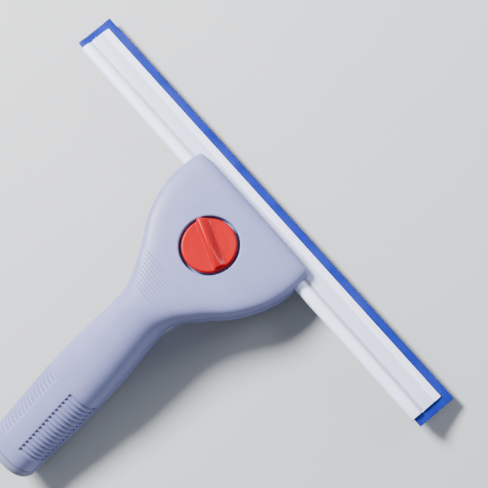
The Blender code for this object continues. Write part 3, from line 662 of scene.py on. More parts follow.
def drawn_lines():
    """Fine lines along X, as extruding and wiping leave, with their height and mask."""
    sockets = [("Line Scale", 1500.0), ("Stretch", 0.02)]
    group, inlet, outlet = group_shell("Drawn lines", sockets, ("Height", "Mask"))
    parts = node(group, "ShaderNodeSeparateXYZ", None, Vector=object_place(group))
    along = sums(group, "MULTIPLY", parts.outputs["X"], inlet.outputs[1])
    across = {"Y": parts.outputs["Y"], "Z": parts.outputs["Z"]}
    squeezed = node(group, "ShaderNodeCombineXYZ", None, X=along, **across)
    lines = noise(group, squeezed.outputs[0], inlet.outputs[0], 4.0)
    plug(group, outlet.inputs["Height"], lines.outputs["Fac"])
    deep = between(group, lines.outputs["Fac"], 0.56, 0.72, 0.0, 1.0)
    plug(group, outlet.inputs["Mask"], deep)
    return group


def shared_groups():
    """The shared groups, made once."""
    makers = (
        ("Moulded grain", moulded_grain),
        ("Edge wear", edge_wear),
        ("Settled dust", settled_dust),
        ("Drawn lines", drawn_lines),
    )
    return {name: bpy.data.node_groups.get(name) or make() for name, make in makers}


def use_group(tree, name, **values):
    """A shared group in a material, with that material's own values."""
    made = node(tree, "ShaderNodeGroup", {"node_tree": shared_groups()[name]})
    for label, value in values.items():
        made.inputs[label.replace("_", " ")].default_value = value
    return made


def start_material(name, base, roughness, metallic=0.0):
    """A material with its tree and shader, or the one that is there already and no tree."""
    material = bpy.data.materials.get(name)
    if material:
        return material, None, None
    material = bpy.data.materials.new(name)
    material.use_nodes = True
    shader = material.node_tree.nodes["Principled BSDF"]
    shader.inputs["Roughness"].default_value = roughness
    shader.inputs["Metallic"].default_value = metallic
    material.diffuse_color = (*base, 1)
    return material, material.node_tree, shader


def moulded_plastic(name, base, gloss, grain=2600.0, bump=0.10, wear=0.18, dust=0.08, shine=0.32):
    """Injection-moulded plastic: fine grain, slight clouding, polished edges, a little dust."""
    material, tree, shader = start_material(name, base, gloss)
    if tree is None:
        return material
    shader.inputs["Specular IOR Level"].default_value = shine
    surface = use_group(tree, "Moulded grain", Grain_Scale=grain, Cloud_Scale=55.0)
    edges = use_group(tree, "Edge wear", Radius=0.5 * MM, Break_Scale=320.0)
    film = use_group(tree, "Settled dust", Patch_Scale=40.0, Speck_Scale=1100.0)
    pale = tuple(min(0.06 + 1.25 * c, 1.0) for c in base)
    tone = clouded(tree, surface, base, 0.955, 1.03)
    tone = tinted(tree, tone, surface.outputs["Fleck"], 0.06, pale)
    tone = tinted(tree, tone, edges.outputs["Mask"], wear, pale)
    tone = tinted(tree, tone, film.outputs["Mask"], dust, (0.40, 0.40, 0.40))
    plug(tree, shader.inputs["Base Color"], tone)
    rough = between(tree, surface.outputs["Cloud"], 0.0, 1.0, gloss - 0.04, gloss + 0.05)
    rough = sums(tree, "ADD", rough, sums(tree, "MULTIPLY", film.outputs["Mask"], 0.10))
    plug(tree, shader.inputs["Roughness"], rough)
    relief(tree, shader, surface.outputs["Height"], bump, 0.15 * MM)
    return material


def coated_aluminium(base):
    """White-coated extrusion: smooth coat over drawn lines, bare metal on worn edges, painted shade
    on the flat band and a painted shadow along the groove.
    """
    material, tree, shader = start_material("White coated aluminium", base, 0.34)
    if tree is None:
        return material
    shader.inputs["Coat Weight"].default_value = 0.35
    shader.inputs["Coat Roughness"].default_value = 0.22
    lines = use_group(tree, "Drawn lines", Line_Scale=1300.0, Stretch=0.012)
    edges = use_group(tree, "Edge wear", Radius=0.5 * MM, Break_Scale=600.0)
    surface = use_group(tree, "Moulded grain", Grain_Scale=1800.0, Cloud_Scale=35.0)
    # Painted shade: the flat band's faces are darkened so the lip strip beside it looks lighter.
    flat = node(tree, "ShaderNodeAttribute", {"attribute_name": "flat_band_painted_shade"})
    # Painted shadow along the groove beside the bulb.
    groove_painted_shadow = node(tree, "ShaderNodeAttribute", {"attribute_name": "groove"})
    tone = clouded(tree, surface, base, 0.965, 1.02)
    # Painted shade on the flat band.
    tone = tinted(tree, tone, flat.outputs["Fac"], 0.75, (0.44, 0.46, 0.66))
    # Painted shadow in the groove.
    tone = tinted(tree, tone, groove_painted_shadow.outputs["Fac"], 0.8, (0.24, 0.25, 0.33))
    tone = tinted(tree, tone, lines.outputs["Mask"], 0.10, (0.60, 0.61, 0.66))
    tone = tinted(tree, tone, edges.outputs["Mask"], 0.85, (0.93, 0.94, 0.97))
    plug(tree, shader.inputs["Base Color"], tone)
    rough = between(tree, lines.outputs["Height"], 0.3, 0.7, 0.28, 0.42)
    plug(tree, shader.inputs["Roughness"], rough)
    plug(tree, shader.inputs["Metallic"], sums(tree, "MULTIPLY", edges.outputs["Mask"], 0.5))
    relief(tree, shader, lines.outputs["Height"], 0.08, 0.1 * MM)
    return material


def blade_rubber(name, base, gloss, bloom):
    """Rubber: matt, slightly mottled, with a pale bloom and wiping lines along X."""
    material, tree, shader = start_material(name, base, gloss)
    if tree is None:
        return material
    shader.inputs["Specular IOR Level"].default_value = 0.12
    surface = use_group(tree, "Moulded grain", Grain_Scale=3200.0, Cloud_Scale=90.0)
    lines = use_group(tree, "Drawn lines", Line_Scale=900.0, Stretch=0.03)
    film = use_group(tree, "Settled dust", Patch_Scale=70.0, Speck_Scale=1500.0)
    wiped = tuple(min(1.5 * c + 0.02, 1.0) for c in base)
    tone = clouded(tree, surface, base, 0.86, 1.12)
    tone = tinted(tree, tone, lines.outputs["Mask"], 0.12, wiped)
    tone = tinted(tree, tone, film.outputs["Mask"], bloom, (0.16, 0.20, 0.32))
    plug(tree, shader.inputs["Base Color"], tone)
    rough = between(tree, surface.outputs["Cloud"], 0.0, 1.0, gloss - 0.06, gloss + 0.06)
    plug(tree, shader.inputs["Roughness"], rough)
    both = sums(tree, "ADD", surface.outputs["Height"], lines.outputs["Height"])
    relief(tree, shader, both, 0.12, 0.1 * MM)
    return material


def plated_steel(base):
    """Zinc-plated steel: duller patches, fine grain and bright edges."""
    material, tree, shader = start_material("Plated steel", base, 0.28, 1.0)
    if tree is None:
        return material
    surface = use_group(tree, "Moulded grain", Grain_Scale=2400.0, Cloud_Scale=260.0)
    edges = use_group(tree, "Edge wear", Radius=0.2 * MM, Break_Scale=900.0)
    tone = clouded(tree, surface, base, 0.80, 1.12)
    tone = tinted(tree, tone, edges.outputs["Mask"], 0.5, (0.82, 0.83, 0.85))
    plug(tree, shader.inputs["Base Color"], tone)
    rough = between(tree, surface.outputs["Cloud"], 0.0, 1.0, 0.22, 0.40)
    plug(tree, shader.inputs["Roughness"], rough)
    relief(tree, shader, surface.outputs["Height"], 0.15, 0.08 * MM)
    return material


# ---------------------------------------------------------------- the handle's form


def spine(s):
    """The front face's centre line, s behind the head's straight edge, and its slope there."""
    bend = min(max((s - EDGE_TO_BEND) / BEND_RADIUS, 0.0), GRIP_ANGLE)
    straight = min(s, EDGE_TO_BEND)
    grip = max(s - NECK_AT, 0.0)
    y = KNOB_TO_EDGE - straight - BEND_RADIUS * math.sin(bend) - grip * math.cos(bend)
    z = -BEND_RADIUS * (1 - math.cos(bend)) - grip * math.sin(bend)
    return Vector((0, y, z)), bend


def half_width(s):
    """Half the width of the section at s."""
    if s < WIDEST_FROM_EDGE:
        inward = (WIDEST_FROM_EDGE - s) / WIDEST_FROM_EDGE
        width = HEAD_WIDTH / 2 - (HEAD_WIDTH - HEAD_EDGE_WIDTH) / 2 * inward**2
        corner = max(CORNER_RADIUS - s, 0.0)
        return width - CORNER_RADIUS + math.sqrt(CORNER_RADIUS**2 - corner**2)
    if s < NECK_AT:
        share = smooth_curve(FLARE, (NECK_AT - s) / (NECK_AT - WIDEST_FROM_EDGE))
        return (NECK_WIDTH + (HEAD_WIDTH - NECK_WIDTH) * share) / 2
    return smooth_curve(GRIP_WIDTHS, (s - NECK_AT) / GRIP_LENGTH) / 2


def edge_roll(s):
    """How far the front face rolls down towards the straight edge."""
    inward = min(max((EDGE_ROLL_LENGTH - s) / EDGE_ROLL_LENGTH, 0.0), 1.0)
    return EDGE_ROLL_DEPTH * (1 - math.sqrt(1 - inward**2))


def depths(s):
    """Front and rear depth of the section from the parting plane."""
    grip = ease(s, DEEPENS_FROM, NECK_AT + DEEPENS_PAST_NECK)
    front = HEAD_FRONT_DEPTH + (GRIP_HALF_DEPTH - HEAD_FRONT_DEPTH) * grip
    rear = HEAD_REAR_DEPTH + (GRIP_HALF_DEPTH - HEAD_REAR_DEPTH) * grip
    return front, rear


def place(s, x, up):
    """The point x across and up from the parting plane of the section at s."""
    origin, bend = spine(s)
    normal = Vector((0, -math.sin(bend), math.cos(bend)))
    return origin + Vector((x, 0, 0)) + normal * (up - depths(s)[0])


def squareness(s):
    """Power of the section's rounded square: 2 is an ellipse."""
    return HEAD_SQUARENESS + (GRIP_SQUARENESS - HEAD_SQUARENESS) * ease(s, SQUARE_UNTIL, NECK_AT)


def half_outline(s, half, inset, seam):
    """(x, up) points of one shell's outer face at s, from the right seam over to the left."""
    depth = depths(s)[0 if half > 0 else 1] - edge_roll(s) - inset
    width = half_width(s) - inset
    power = 2 / squareness(s)
    start = GAP / 2
    right = arc_points((width - seam, start + seam), seam, -90, 0, 5)
    for i in range(1, OUTLINE_STEPS + 1):
        angle = 0.5 * math.pi * i / OUTLINE_STEPS
        rise = start + (depth - start) * math.sin(angle) ** power
        if rise > start + seam * 1.05:
            x = width * math.cos(angle) ** power if i < OUTLINE_STEPS else 0.0
            right.append((x, rise))
    left = [(-x, up) for x, up in reversed(right[:-1])]
    return right + left


def resample(points, count):
    """The same line with count points, spaced evenly along it."""
    lengths = [0.0]
    for (x0, y0), (x1, y1) in zip(points, points[1:]):
        lengths.append(lengths[-1] + math.hypot(x1 - x0, y1 - y0))
    found = []
    k = 0
    for i in range(count):
        at = lengths[-1] * i / (count - 1)
        while k < len(points) - 2 and lengths[k + 1] < at:
            k += 1
        span = lengths[k + 1] - lengths[k]
        t = (at - lengths[k]) / span if span > 0 else 0.0
        (x0, y0), (x1, y1) = points[k], points[k + 1]
        found.append((x0 + (x1 - x0) * t, y0 + (y1 - y0) * t))
    return found


def rib_hollow(size, s, x):
    """Depth of the hollows between the grip's ribs."""
    t = (s - size.rib_start) / size.rib_pitch
    if t <= 0 or t >= size.rib_count:
        return 0.0
    beside = ease(abs(x), size.plain_strip, size.plain_strip + RIB_FADE)
    return size.rib_depth * beside * math.sin(math.pi * (t % 1.0)) ** RIB_SHARPNESS


def neck_line(size, s, x):
    """Depth of the fine lines across the neck."""
    index = round((s - NECK_LINES_FROM) / size.line_pitch)
    if index < 0 or index >= size.line_count:
        return 0.0
    off = abs(s - NECK_LINES_FROM - index * size.line_pitch) / (NECK_LINE_WIDTH / 2)
    if off >= 1:
        return 0.0
    share = index / max(size.line_count - 1, 1)
    half = NECK_LINE_HALF[0] + (NECK_LINE_HALF[1] - NECK_LINE_HALF[0]) * share
    within = 1 - ease(abs(x), half - NECK_LINE_FADE, half)
    return size.line_depth * within * math.cos(0.5 * math.pi * off) ** 2


def shell_places(size, half):
    """Where the rings of a shell stand: close on the roll, the lines and the ribs."""
    lines_start = NECK_LINES_FROM - NECK_LINE_WIDTH
    lines_end = NECK_LINES_FROM + (size.line_count - 1) * size.line_pitch + NECK_LINE_WIDTH
    ribs_end = size.rib_start + size.rib_count * size.rib_pitch
    seam = size.seam_round
    quarter = 0.5 * math.pi
    found = [EDGE_ROLL_LENGTH * (1 - math.cos(quarter * i / ROLL_RINGS)) for i in range(ROLL_RINGS)]
    if half > 0:
        found += spread(EDGE_ROLL_LENGTH, lines_start, RING_STEP)
        found += spread(lines_start, lines_end, LINE_RING_STEP)
        found += spread(lines_end, size.rib_start, RING_STEP)
    else:
        found += spread(EDGE_ROLL_LENGTH, size.rib_start, RING_STEP)
    found += spread(size.rib_start, ribs_end, size.rib_pitch / RINGS_PER_RIB)
    found += spread(ribs_end, SHELL_END - seam, RING_STEP)
    found += [SHELL_END - seam * (1 - math.sin(math.radians(a))) for a in (0, 22, 45, 68, 90)]
    return found


def end_round(size, s):
    """Inset of the rounded end where the shells meet the socket's collar."""
    seam = size.seam_round
    past = min(max(s - (SHELL_END - seam), 0.0), seam)
    return seam - math.sqrt(seam**2 - past**2)


def shell_ring(size, s, half, columns):
    """One ring of a shell's outer face, with ribs and lines pressed in."""
    outline = resample(half_outline(s, half, end_round(size, s), size.seam_round), columns)
    ring = []
    last = len(outline) - 1
    for i, (x, up) in enumerate(outline):
        before, after = outline[max(i - 1, 0)], outline[min(i + 1, last)]
        run, rise = after[0] - before[0], after[1] - before[1]
        reach = math.hypot(run, rise) or 1.0
        depth = rib_hollow(size, s, x)
        if half > 0:
            depth = max(depth, neck_line(size, s, x))
        x -= rise / reach * depth
        up += run / reach * depth
        ring.append(place(s, x, up if half > 0 else -up))
    return ring


def section_ring(s, inset, steps=48):
    """A whole inner ring, for the hollow inside the two shells."""
    front, rear = depths(s)
    power = 2 / squareness(s)
    roll = edge_roll(s) + inset
    ring = []
    for i in range(steps):
        angle = 2 * math.pi * i / steps
        across = math.copysign(abs(math.cos(angle)) ** power, math.cos(angle))
        rise = math.copysign(abs(math.sin(angle)) ** power, math.sin(angle))
        depth = front - roll if rise > 0 else rear - roll
        ring.append(place(s, across * (half_width(s) - inset), rise * depth))
    return ring


def hollow():
    """Solid of the space inside the shells."""
    places = spread(WALL, EDGE_ROLL_LENGTH, 0.8 * MM) + spread(EDGE_ROLL_LENGTH, SHELL_END, 4 * MM)
    rings = [section_ring(s, WALL) for s in places]
    rings.append(section_ring(SHELL_END, WALL))
    rings.append([p + (rings[-1][i] - rings[-2][i]) for i, p in enumerate(rings[-1])])
    return new_object("hollow", loft("hollow", rings))


def screw_posts():
    """(name, distance behind the edge, x) of every screw that joins the shells."""
    side = HEAD_WIDTH / 2 - SCREW_SIDE_INSET
    beside = KNOB_TO_EDGE - HEAD_SCREW_Y
    posts = [("head_screw_left", beside, -side), ("head_screw_right", beside, side)]
    posts.append(("neck_screw", NECK_SCREW_BACK, 0.0))
    for name, back in zip(("grip_screw_upper", "grip_screw_lower"), GRIP_SCREWS_FROM_END):
        posts.append((name, HANDLE_END - back, 0.0))
    return posts


def post_frame(s, x):
    """The screw's frame: its origin on the parting plane, Z out of the front face."""
    return Matrix.Translation(place(s, x, 0)) @ Matrix.Rotation(spine(s)[1], 4, "X")


def seat_level(s):
    """Height of the face under a screw's head, from the parting plane."""
    return depths(s)[0] - WALL - SCREW_TIP_ROOM - SCREW_LENGTH


def rod(radius, low, high, matrix=None, steps=40):
    """A plain round bar about Z, for cutting, moved by the matrix."""
    mesh = turned("rod", [(radius, low), (radius, high)], steps)
    if matrix:
        mesh.transform(matrix)
    return mesh


def guide_pins():
    """(side, place, radius) of the two pins that guide the jaw."""
    found = []
    for side in ("left", "right"):
        low, high = tool_box("guide_pin_" + side)
        middle = (low + high) / 2
        at = Matrix.Translation((middle.x, middle.y, 0))
        found.append((side, at, (high.x - low.x) / 2))
    return found


def channel_way():
    """Cutter of the way that the channel takes through the head, open past the edge."""
    clear = 2 * GAP
    outline = channel_outline(0.5 * MM, 0.45 * MM, clear)[1:-1]
    reach = CHANNEL_LIP + CUT_ROOM
    outline = [(reach, CHANNEL_FACE + clear)] + outline + [(reach, CHANNEL_REAR - clear)]
    half = HEAD_WIDTH / 2 + CUT_ROOM
    return loft("channel_way", [[Vector((x, y, z)) for y, z in outline] for x in (-half, half)])


def recess_cutter():
    """Round recess for the knob, with a rounded rim and a small radius in its corner."""
    foot_centre = RECESS_RADIUS - RECESS_FOOT
    profile = [(foot_centre, -RECESS_DEPTH)]
    profile += arc_points((foot_centre, RECESS_FOOT - RECESS_DEPTH), RECESS_FOOT, -70, 0, 4)
    profile += arc_points((RECESS_RADIUS + RECESS_RIM, -RECESS_RIM), RECESS_RIM, 180, 96, 8)
    profile.append((profile[-1][0] + 0.2 * MM, CUT_ROOM))
    return turned("recess", profile, 128)


def shell_body(size, name, half):
    """One shell as a solid, before it is hollowed."""
    rings = [shell_ring(size, s, half, SHELL_COLUMNS) for s in shell_places(size, half)]
    return new_object(name, loft(name, rings))


def build_front_shell(size, material):
    """Front half: the head's face with the knob's recess, the land for its pad, screw posts."""
    shell = shell_body(size, "front_shell_moulding", 1)
    inside = hollow()
    cut(inside, rod(RECESS_RADIUS + WALL, RECESS_BOTTOM, CUT_ROOM, None, 96))
    pad_low, pad_high = tool_box("front_pad")
    land = rectangle(-LAND_HALF, LAND_HALF, pad_low.y, KNOB_TO_EDGE)
    cut(inside, upright("land", land, pad_high.z + GAP, CUT_ROOM))
    for _, s, x in screw_posts():
        high = depths(s)[0] + CUT_ROOM
        cut(inside, rod(SCREW_RADIUS + GAP + BOSS_WALL, -CUT_ROOM, high, post_frame(s, x)))
    cut(shell, inside)
    cut(shell, channel_way())
    cut(shell, recess_cutter())
    cut(shell, rod(STUD_RADIUS + GAP, -2 * CUT_ROOM, 0))
    for _, at, radius in guide_pins():
        cut(shell, rod(radius + GAP, -2 * CUT_ROOM, PIN_HIGH.z + GAP, at))
    for _, s, x in screw_posts():
        tip = seat_level(s) + SCREW_LENGTH + GAP
        cut(shell, rod(SCREW_RADIUS + GAP, -CUT_ROOM, tip, post_frame(s, x)))
    hand_over(shell, "handle", "handle_plastic", material, "front_shell")


def build_rear_shell(size, material):
    """Rear half, with a sunk and bored post for each screw."""
    shell = shell_body(size, "rear_shell_moulding", -1)
    inside = hollow()
    posts = []
    for _, s, x in screw_posts():
        posts.append((post_frame(s, x), -depths(s)[1] - CUT_ROOM, seat_level(s)))
    for at, low, _ in posts:
        cut(inside, rod(SCREW_HEAD_RADIUS + GAP + BOSS_WALL, low, CUT_ROOM, at))
    cut(shell, inside)
    cut(shell, channel_way())
    for at, low, seat in posts:
        cut(shell, rod(SCREW_HEAD_RADIUS + GAP, low, seat - GAP, at))
        cut(shell, rod(SCREW_RADIUS + GAP, low, CUT_ROOM, at))
    hand_over(shell, "handle", "handle_plastic", material, "rear_shell")


# ---------------------------------------------------------------- the knob


def fin_height(size, along, across):
    """Height of the finger fin above the knob's face: one steep flank and one long one."""
    share = min(abs(along) / KNOB_RADIUS, 1.0)
    half = size.fin_waist + (size.fin_end - size.fin_waist) * share**2
    crest = 1 - ease(abs(across) / half, *(FIN_STEEP if across < 0 else FIN_LONG))
    fall = size.fin_arch if along > 0 else FIN_POINTER_FALL * size.fin_arch
    return size.fin_height * crest * (1 - fall * share**2)


def knob_height(size, along, across):
    """Height of the knob's upper face at a point on it."""
    inward = KNOB_RADIUS - math.hypot(along, across)
    edge = max(KNOB_CHAMFER - inward, 0.0)
    level = KNOB_FACE_RISE - edge**1.5 / KNOB_CHAMFER**0.5 * 0.9
    dish = ease(abs(across), 1.6 * MM, 6 * MM) * ease(inward, 0.8 * MM, 5 * MM)
    fade = ease(inward, 0.05 * MM, 2.0 * MM) if along > 0 else 1.0
    return level - size.dish * dish + fin_height(size, along, across) * fade


def fin_reach(along, across):
    """How far the fin's pointing end stands out past the knob's rim."""
    width = 1 - ease(abs(across + 0.2 * MM), 0.9 * MM, 2.6 * MM)
    return FIN_REACH * width * ease(-along / KNOB_RADIUS, 0.55, 1.0)


def knob_rows():
    """Rows across the knob: close together over the fin and towards the rim."""
    rows = {round(KNOB_RADIUS * math.sin(math.radians(a)), 7) for a in range(-88, 89, 2)}
    rows |= {round(0.2 * MM * k, 7) for k in range(-34, 35)}
    for angle in (0.8, 1.4):
        outer = KNOB_RADIUS * math.cos(math.radians(angle))
        rows |= {round(side * outer, 7) for side in (-1, 1)}
    ordered = sorted(rows)
    kept = [ordered[0]]
    for value in ordered[1:]:
        if value - kept[-1] > 0.06 * MM or abs(value) > 0.97 * KNOB_RADIUS:
            kept.append(value)
    return kept


def knob_grid(bm, size):
    """Rows of the knob's upper face, with their points crowded towards the rim."""
    grid = []
    for across in knob_rows():
        chord = math.sqrt(max(KNOB_RADIUS**2 - across**2, 0.0))
        row = []
        for i in range(KNOB_COLUMNS + 1):
            crowded = -math.cos(math.pi * i / KNOB_COLUMNS)
            along = chord * (0.6 * crowded + 0.4 * (2 * i / KNOB_COLUMNS - 1))
            level = knob_height(size, along, across)
            row.append(bm.verts.new((along - fin_reach(along, across), across, level)))
        grid.append(row)
    return grid


def build_knob(size, material):
    """Round knob with a finger fin across it, bored from below for the stud."""
    bm = bmesh.new()
    grid = knob_grid(bm, size)
    for first, second in zip(grid, grid[1:]):
        for i in range(KNOB_COLUMNS):
            bm.faces.new((first[i], first[i + 1], second[i + 1], second[i]))
    rim = grid[0] + [row[-1] for row in grid[1:-1]] + grid[-1][::-1]
    rim += [row[0] for row in reversed(grid[1:-1])]
    previous = rim
    foot = 0.8 * MM
    for radius, level in ((KNOB_RADIUS, KNOB_LOW.z + foot), (KNOB_RADIUS - foot, KNOB_LOW.z)):
        ring = []
        for vert in rim:
            flat = Vector((vert.co.x, vert.co.y, 0)).normalized() * radius
            ring.append(bm.verts.new((flat.x, flat.y, level)))
        for i in range(len(rim)):
            j = (i + 1) % len(rim)
            bm.faces.new((previous[i], previous[j], ring[j], ring[i]))
        previous = ring
    bm.faces.new(previous)
    knob = new_object("finger_knob", mesh_from(bm, "finger_knob"))
    knob.data.transform(Matrix.Rotation(FIN_TURN, 4, "Z"))
    cut(knob, rod(STUD_RADIUS + GAP, -CUT_ROOM, STUD_HIGH.z + GAP, None, 48))
    hand_over(knob, "knob", "knob_plastic", material, "clamp_knob", sharp=50)


# ---------------------------------------------------------------- channel and blade


def channel_outline(groove, slope, grow=0.0):
    """Outer (y, z) outline of the channel's section, going round from the lip's front corner."""
    face, top = CHANNEL_FACE + grow, CHANNEL_TOP + grow
    back, rear = CHANNEL_BACK - grow, CHANNEL_REAR - grow
    bulb_end = CHANNEL_BACK + BULB_WIDTH
    points = [(CHANNEL_LIP + grow, face - slope)]
    points += [(CHANNEL_LIP - LIP_STRIP, face), (bulb_end + GROOVE_RAMP, face)]
    for share in (0.2, 0.4, 0.6, 0.8):
        y = bulb_end + (2.0 - 1.7 * share) * MM
        points.append((y, face - groove * ease(share, 0, 1)))
    points.append((bulb_end + 0.1 * MM, face - groove))
    for share in (0.1 * i for i in range(1, 10)):
        rise = math.sin(0.5 * math.pi * share)
        level = face - groove + (groove + top - face) * rise
        points.append((bulb_end - BULB_FLANK * share, level))
    points += arc_points((back + BULB_ROUND, top - BULB_ROUND), BULB_ROUND, 90, 180, 14)
    points += arc_points((back + CHANNEL_FOOT, rear + CHANNEL_FOOT), CHANNEL_FOOT, 180, 270, 6)
    points.append((CHANNEL_LIP + grow, rear))
    return points


def channel_inside():
    """Outline of the slot and bead space inside the channel, open past the lip."""
    web_end = CHANNEL_BACK + BULB_WIDTH + 0.4 * MM
    back = CHANNEL_BACK + CHANNEL_WALL
    high = CHANNEL_TOP - CHANNEL_WALL
    out = CHANNEL_LIP + CUT_ROOM
    points = [(out, SLOT_TOP), (web_end, SLOT_TOP), (web_end - 1.4 * MM, high)]
    points += arc_points((back + 1.2 * MM, high - 1.2 * MM), 1.2 * MM, 90, 180, 5)
    points += arc_points((back + 0.5 * MM, SLOT_FLOOR + 0.5 * MM), 0.5 * MM, 180, 270, 3)
    points.append((out, SLOT_FLOOR))
    return points


def mark_painted_shade(mesh):
    """Mark the faces of the flat band before the lip strip, which get painted shade, and those
    along the groove, which get a painted shadow.
    """
    bulb_end = CHANNEL_BACK + BULB_WIDTH
    band, groove = [], []
    for face in mesh.polygons:
        y, z = face.center.y, face.center.z
        outside = z > (CHANNEL_FACE + SLOT_TOP) / 2 and face.normal.z > 0
        # Share of painted shadow, strongest at the groove's foot beside the bulb.
        near = 1 - ease(abs(y - bulb_end - 0.35 * MM), 0.3 * MM, 1.5 * MM)
        # Painted shade: 1 on the flat band's outward faces.
        band.append(float(outside and bulb_end < y < CHANNEL_LIP - LIP_STRIP))
        groove.append(near if outside else 0.0)
    for name, values in (("flat_band_painted_shade", band), ("groove", groove)):
        mesh.attributes.new(name, "FLOAT", "FACE").data.foreach_set("value", values)


def build_channel(size, material):
    """Extruded channel with a bulb along its back, softly sawn ends and three punch marks."""
    half = CHANNEL_HIGH.x
    outline = channel_outline(size.groove_dip, size.lip_slope)
    (lip, lip_top), (_, lip_rear) = outline[0], outline[-1]
    nose = [(lip, lip_top - 0.2 * MM), (lip - 0.22 * MM, lip_top)]
    heel = [(lip - 0.25 * MM, lip_rear), (lip, lip_rear + 0.25 * MM)]
    outline = nose + outline[1:-1] + heel
    soft = size.end_round
    ends = [(-half, soft), (-half + 0.3 * soft, 0.3 * soft), (-half + soft, 0.0)]
    stations = ends + [(x, 0.0) for x in spread(-half + 2 * soft, half - 2 * soft, 12 * MM)]
    stations += [(-x, inset) for x, inset in reversed(ends)]
    body = new_object("blade_channel", prism_x("blade_channel", outline, stations))
    reach = half + CUT_ROOM
    inside = [[Vector((x, y, z)) for y, z in channel_inside()] for x in (-reach, reach)]
    cut(body, loft("inside", inside))
    tip, brim = (0.05 * MM, -0.55 * MM), (PUNCH_RADIUS * 1.5, 0.5 * MM)
    for x in PUNCH_MARKS:
        mark = turned("punch", [tip, (PUNCH_RADIUS, 0.0), brim], 20)
        place_y = CHANNEL_BACK + BULB_WIDTH + PUNCH_PLACE
        mark.transform(Matrix.Translation((x, place_y, CHANNEL_FACE - 0.2 * MM)))
        cut(body, mark)
    # Marks where painted shade and a painted shadow go.
    mark_painted_shade(body.data)
    hand_over(body, "channel", "white_aluminium", material, "channel", sharp=28)


def blade_outline(rounding):
    """Outline of the blade: a bead in the bulb, a web in the slot and a square-edged lip."""
    fit = 0.3 * MM
    back = BLADE_LOW.y
    bead_end = back + 4.2 * MM
    low = SLOT_FLOOR + fit
    web_top = SLOT_TOP - fit
    bead_top = web_top + 0.55 * MM
    middle = (SLOT_TOP + SLOT_FLOOR) / 2
    thick = 1.1 * MM
    edge = BLADE_HIGH.y
    lip_start = CHANNEL_LIP + GAP
    r = rounding
    points = arc_points((edge - r, middle + thick - r), r, 0, 90, 3)
    points += [(lip_start + 0.25 * MM, middle + thick), (lip_start, middle + thick - 0.25 * MM)]
    points += [(lip_start, web_top), (bead_end + 0.9 * MM, web_top), (bead_end, web_top + 0.2 * MM)]
    points += [(bead_end - 1.2 * MM, bead_top - 0.1 * MM), (bead_end - 1.8 * MM, bead_top)]
    points += arc_points((back + 0.8 * MM, bead_top - 0.8 * MM), 0.8 * MM, 90, 180, 5)
    points += arc_points((back + 0.5 * MM, low + 0.5 * MM), 0.5 * MM, 180, 270, 3)
    points += [(lip_start, low), (lip_start, middle - thick + 0.25 * MM)]
    points.append((lip_start + 0.25 * MM, middle - thick))
    points += arc_points((edge - r, r + middle - thick), r, -90, 0, 3)
    return points


def build_blade(size, material):
    """The rubber blade, square-cut at both ends."""
    half = BLADE_HIGH.x
    soft = 0.2 * MM
    stations = [(-half, soft), (soft - half, 0.0)]
    stations += [(x, 0.0) for x in spread(2 * soft - half, half - 2 * soft, 10 * MM)]
    stations += [(half - soft, 0.0), (half, soft)]
    mesh = prism_x("wiper_blade", blade_outline(size.edge_round), stations)
    hand_over(new_object("wiper_blade", mesh), "rubber", "blade_rubber", material, "rubber_blade")


# ---------------------------------------------------------------- small parts


def screw_mesh(size):
    """Pan-head screw with a cross recess, seated at Z = 0 with its shank along +Z."""
    shank = threaded("screw", SCREW_CORE, SCREW_RADIUS, size.screw_pitch, -0.4 * MM, SCREW_LENGTH)
    screw = new_object("screw", shank)
    soft = 0.2 * MM
    profile = [(SCREW_HEAD_RADIUS - soft, 0.0), (SCREW_HEAD_RADIUS, -soft)]
    for i in range(1, 9):
        angle = 0.5 * math.pi * i / 9
        rise = (SCREW_HEAD_HEIGHT - soft) * math.sin(angle) ** 1.1
        profile.append((SCREW_HEAD_RADIUS * math.cos(angle) ** 0.6, -soft - rise))
    cut(screw, turned("head", profile, 48), "UNION")
    mouth, bottom = -SCREW_HEAD_HEIGHT - 1 * MM, -SCREW_HEAD_HEIGHT + CROSS_DEPTH
    for turn in (0, 90):
        rings = []
        for level, share in ((mouth, 1.1), (bottom, 0.45)):
            reach = CROSS_REACH * share
            outline = rectangle(-reach, reach, -CROSS_HALF_WIDTH, CROSS_HALF_WIDTH)
            rings.append(level_ring(outline, level))
        arm = loft("arm", rings)
        arm.transform(Matrix.Rotation(math.radians(turn + 20), 4, "Z"))
        cut(screw, arm)
    mesh = screw.data
    bpy.data.objects.remove(screw)
    return mesh


def build_screws(size, material):
    """The five screws, each in its post."""
    pattern = screw_mesh(size)
    for name, s, x in screw_posts():
        mesh = pattern.copy()
        seat = Matrix.Translation((0, 0, seat_level(s) - 2 * GAP))
        mesh.transform(post_frame(s, x) @ seat)
        hand_over(new_object(name + "_fastener", mesh), "handle", "steel", material, name)


